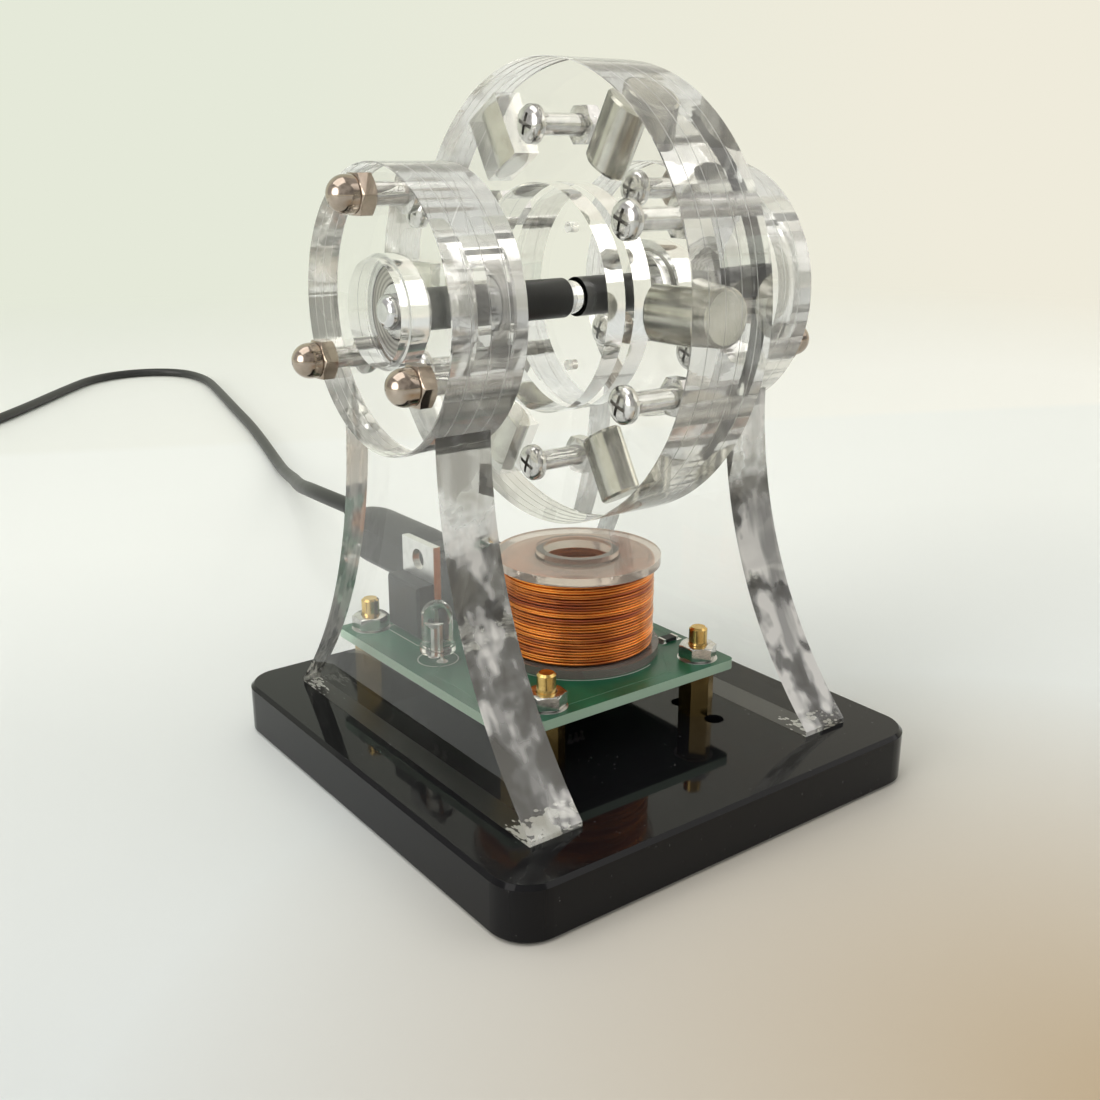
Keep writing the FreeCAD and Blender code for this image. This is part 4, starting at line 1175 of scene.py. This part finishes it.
def resistor_ends():
    """Tinned caps at both ends of the chip resistor, and their solder pads."""
    bm = bmesh.new()
    length, width, height = RESISTOR_SIZE
    for side in (-1, 1):
        x = RESISTOR_PLACE[0] + side * (length / 2 - 0.2 * MM)
        bm.from_mesh(box_mesh((0.44 * MM, width + 0.04 * MM, height + 0.03 * MM),
                              (x, RESISTOR_PLACE[1], BOARD_TOP + height / 2 + 0.01 * MM)))
        bm.from_mesh(box_mesh((1.1 * MM, width + 0.5 * MM, TRACK_HEIGHT * 1.4),
                              (x + side * 0.3 * MM, RESISTOR_PLACE[1],
                               BOARD_TOP + TRACK_HEIGHT * 0.7)))
    bmesh.ops.bevel(bm, geom=bm.edges[:], offset=0.02 * MM, segments=1, affect="EDGES")
    mesh = finished(bm, "resistor_ends")
    mesh.materials.append(TIN)
    piece("resistor_ends", mesh, "base", "lead_tin")


# Table, background and light

# Painted shade and light on the table: darker near the viewer, brighter further off
TABLE_NEAR_SHADED = (0.73, 0.765, 0.765)
TABLE_FAR_LIT = (0.88, 0.91, 0.885)
TABLE_SHADE_REACH = (-0.07, 0.13)
# Painted warm shade on the table round a spot in front of the object
TABLE_WARM_SHADE = (0.49, 0.375, 0.235)
WARM_SHADE_SPOT = (0.0, -0.110, 0.0)
WARM_SHADE_REACH = (0.0, 0.12)
BACK_WAY = (0.415, 0.910, 0.0)
BACK_START = (0.246, 0.256)
BACK_PALE = (0.35, 0.75)
EDGE_PALE = (0.45, 0.80)
BACK_LEFT = (0.784, 0.815, 0.694)
BACK_RIGHT = (0.863, 0.831, 0.708)
# Painted light: a brighter patch low on the backdrop, just behind the table
BACK_LIT_LEFT = (0.84, 0.87, 0.83)
BACK_LIT_RIGHT = (0.95, 0.95, 0.90)
ACROSS_WAY = (0.80, -0.60, 0.0)
ACROSS_REACH = (-0.25, 0.35)
ROOM_PALE = (0.825, 0.823, 0.70)
ROOM_DARK = (0.58, 0.56, 0.52)
ROOM_LIGHT = (1.0, 0.985, 0.95)
ROOM_STRENGTH = 0.60
WINDOW_WAY = (-0.97, -0.02, 0.22)
WINDOW_REACH = (0.90, 0.96)
WINDOW_STRENGTH = 4.5
SHADE_WAY = (0.52, -0.85, 0.08)
SHADE_REACH = (0.76, 0.92)
SHADE_SHARE = 0.5
TABLE_START = -2.2
TABLE_END = 0.75
TABLE_HALF = 2.6
BEND_RADIUS = 0.35
BEND_STEPS = 12
WALL_TOP = 2.6
VIEW_TURN = -36.8


def dot_with(material, vector, way):
    node = add(material, "VectorMath", operation="DOT_PRODUCT")
    node.inputs[1].default_value = way
    join(material, vector, node.inputs[0])
    return node.outputs["Value"]


def is_ray(material, *kinds):
    """1 for a ray of any of these kinds, else 0."""
    rays = add(material, "LightPath")
    found = rays.outputs[f"Is {kinds[0]} Ray"]
    for kind in kinds[1:]:
        found = sums(material, "MAXIMUM", found, rays.outputs[f"Is {kind} Ray"])
    return found


def mix_surface(material, share, first, second, output):
    """Ends a material in a mix of two shaders."""
    either = add(material, "MixShader")
    for k, source in enumerate((share, first, second)):
        join(material, source, either.inputs[k])
    join(material, either.outputs["Shader"], material.node_tree.nodes[output].inputs["Surface"])


def table_material():
    """A pale table, warmer and darker near the viewer as painted shade, with another pale colour
    behind the object, lighter low down as painted light.
    """
    m = new_material("table", Specular_IOR_Level=0.25)
    place = add(m, "TexCoord").outputs["Object"]
    away = add(m, "VectorMath", operation="DISTANCE")
    away.inputs[1].default_value = WARM_SHADE_SPOT
    join(m, place, away.inputs[0])
    depth = dot_with(m, place, BACK_WAY)
    # Painted shade: the table's colour darkens towards the viewer
    shaded_table = blend(m, remap(m, depth, 0.0, 1.0, *TABLE_SHADE_REACH), TABLE_NEAR_SHADED, TABLE_FAR_LIT)
    # Painted warm shade round a spot in front of the object
    table = blend(m, remap(m, away.outputs["Value"], 0.0, 1.0, *WARM_SHADE_REACH), TABLE_WARM_SHADE, shaded_table)
    across = remap(m, dot_with(m, place, ACROSS_WAY), 0.0, 1.0, *ACROSS_REACH)
    back = blend(m, across, BACK_LEFT, BACK_RIGHT)
    # Painted light patch low on the backdrop
    low = blend(m, across, BACK_LIT_LEFT, BACK_LIT_RIGHT)
    behind = remap(m, depth, 0.0, 1.0, *BACK_START)
    feed(m, blend(m, behind, table, low), "Base Color")
    feed(m, remap(m, noise(m, 60, 2), 0.42, 0.55), "Roughness")
    bump(m, noise(m, 500, 3), 0.00003, 0.3)
    reach = add(m, "VectorMath", operation="LENGTH")
    join(m, place, reach.inputs[0])
    far = sums(m, "MAXIMUM", remap(m, depth, 0.0, 1.0, *BACK_PALE),
               remap(m, reach.outputs["Value"], 0.0, 1.0, *EDGE_PALE))
    share = sums(m, "MULTIPLY", far, is_ray(m, "Camera", "Transmission", "Glossy"))
    pale = add(m, "Emission")
    join(m, back, pale.inputs["Color"])
    mix_surface(m, share, m.node_tree.nodes["Principled BSDF"].outputs["BSDF"],
                pale.outputs["Emission"], "Material Output")
    return m


def backdrop():
    """A table top that turns up smoothly behind the object."""
    section = [(TABLE_START, 0), (TABLE_END, 0)]
    for k in range(1, BEND_STEPS + 1):
        a = math.pi / 2 * k / BEND_STEPS
        section.append((TABLE_END + BEND_RADIUS * math.sin(a), BEND_RADIUS * (1 - math.cos(a))))
    section.append((TABLE_END + BEND_RADIUS, WALL_TOP))
    aim = Matrix.Rotation(math.radians(VIEW_TURN), 4, "Z")
    bm = bmesh.new()
    rows = [[bm.verts.new(aim @ Vector((x, y, z))) for y, z in section]
            for x in (-TABLE_HALF, TABLE_HALF)]
    for i in range(len(section) - 1):
        bm.faces.new((rows[0][i], rows[1][i], rows[1][i + 1], rows[0][i + 1]))
    mesh = bpy.data.meshes.new("table")
    bm.to_mesh(mesh)
    bm.free()
    mesh.materials.append(table_material())
    for face in mesh.polygons:
        face.use_smooth = True
    new_object("table", mesh)


def area_lamp(name, place, target, size, power, colour):
    lamp = bpy.data.lights.new(name, "AREA")
    lamp.size = size
    lamp.energy = power
    lamp.color = colour
    look(new_object(name, lamp), place, target)


def world():
    """A pale room with darker parts, a broad window and a shaded corner opposite, seen as
    one pale colour."""
    space = bpy.data.worlds.new("room")
    bpy.context.scene.world = space
    space.use_nodes = True
    way = add(space, "TexCoord").outputs["Generated"]
    mapping = add(space, "Mapping")
    mapping.inputs["Scale"].default_value = (1.6, 1.6, 2.4)
    join(space, way, mapping.inputs["Vector"])
    cloud = add(space, "TexNoise", Scale=1.3, Detail=1.5)
    join(space, mapping.outputs["Vector"], cloud.inputs["Vector"])
    window = remap(space, dot_with(space, way, WINDOW_WAY), 0.0, WINDOW_STRENGTH, *WINDOW_REACH)
    shade = remap(space, dot_with(space, way, SHADE_WAY), 1.0, SHADE_SHARE, *SHADE_REACH)
    light = space.node_tree.nodes["Background"]
    join(space, ramp(space, cloud.outputs["Fac"], ROOM_DARK, ROOM_LIGHT, (0.36, 0.56)),
         light.inputs["Color"])
    join(space, sums(space, "MULTIPLY", sums(space, "ADD", window, ROOM_STRENGTH), shade),
         light.inputs["Strength"])
    pale = add(space, "Background")
    pale.inputs["Color"].default_value = (*ROOM_PALE, 1)
    mix_surface(space, is_ray(space, "Camera", "Transmission"), light.outputs["Background"],
                pale.outputs["Background"], "World Output")


add_camera()
power_cord()
fasteners()
head(-1, "left")
head(1, "right")
rotor()
stand(-1, "left")
stand(1, "right")
winding()
solder()
board_paint()
board_tracks()
pillar_pads()
led_inside()
resistor_ends()
backdrop()
world()
area_lamp("key", (-0.40, 0.13, 1.0), (0, 0.02, 0.05), 0.85, 4.1, (1.0, 0.98, 0.95))
area_lamp("fill", (0.7, -0.6, 0.7), (0, 0, 0.05), 0.8, 2.0, (1.0, 0.97, 0.93))

bpy.context.scene.view_settings.view_transform = "Standard"
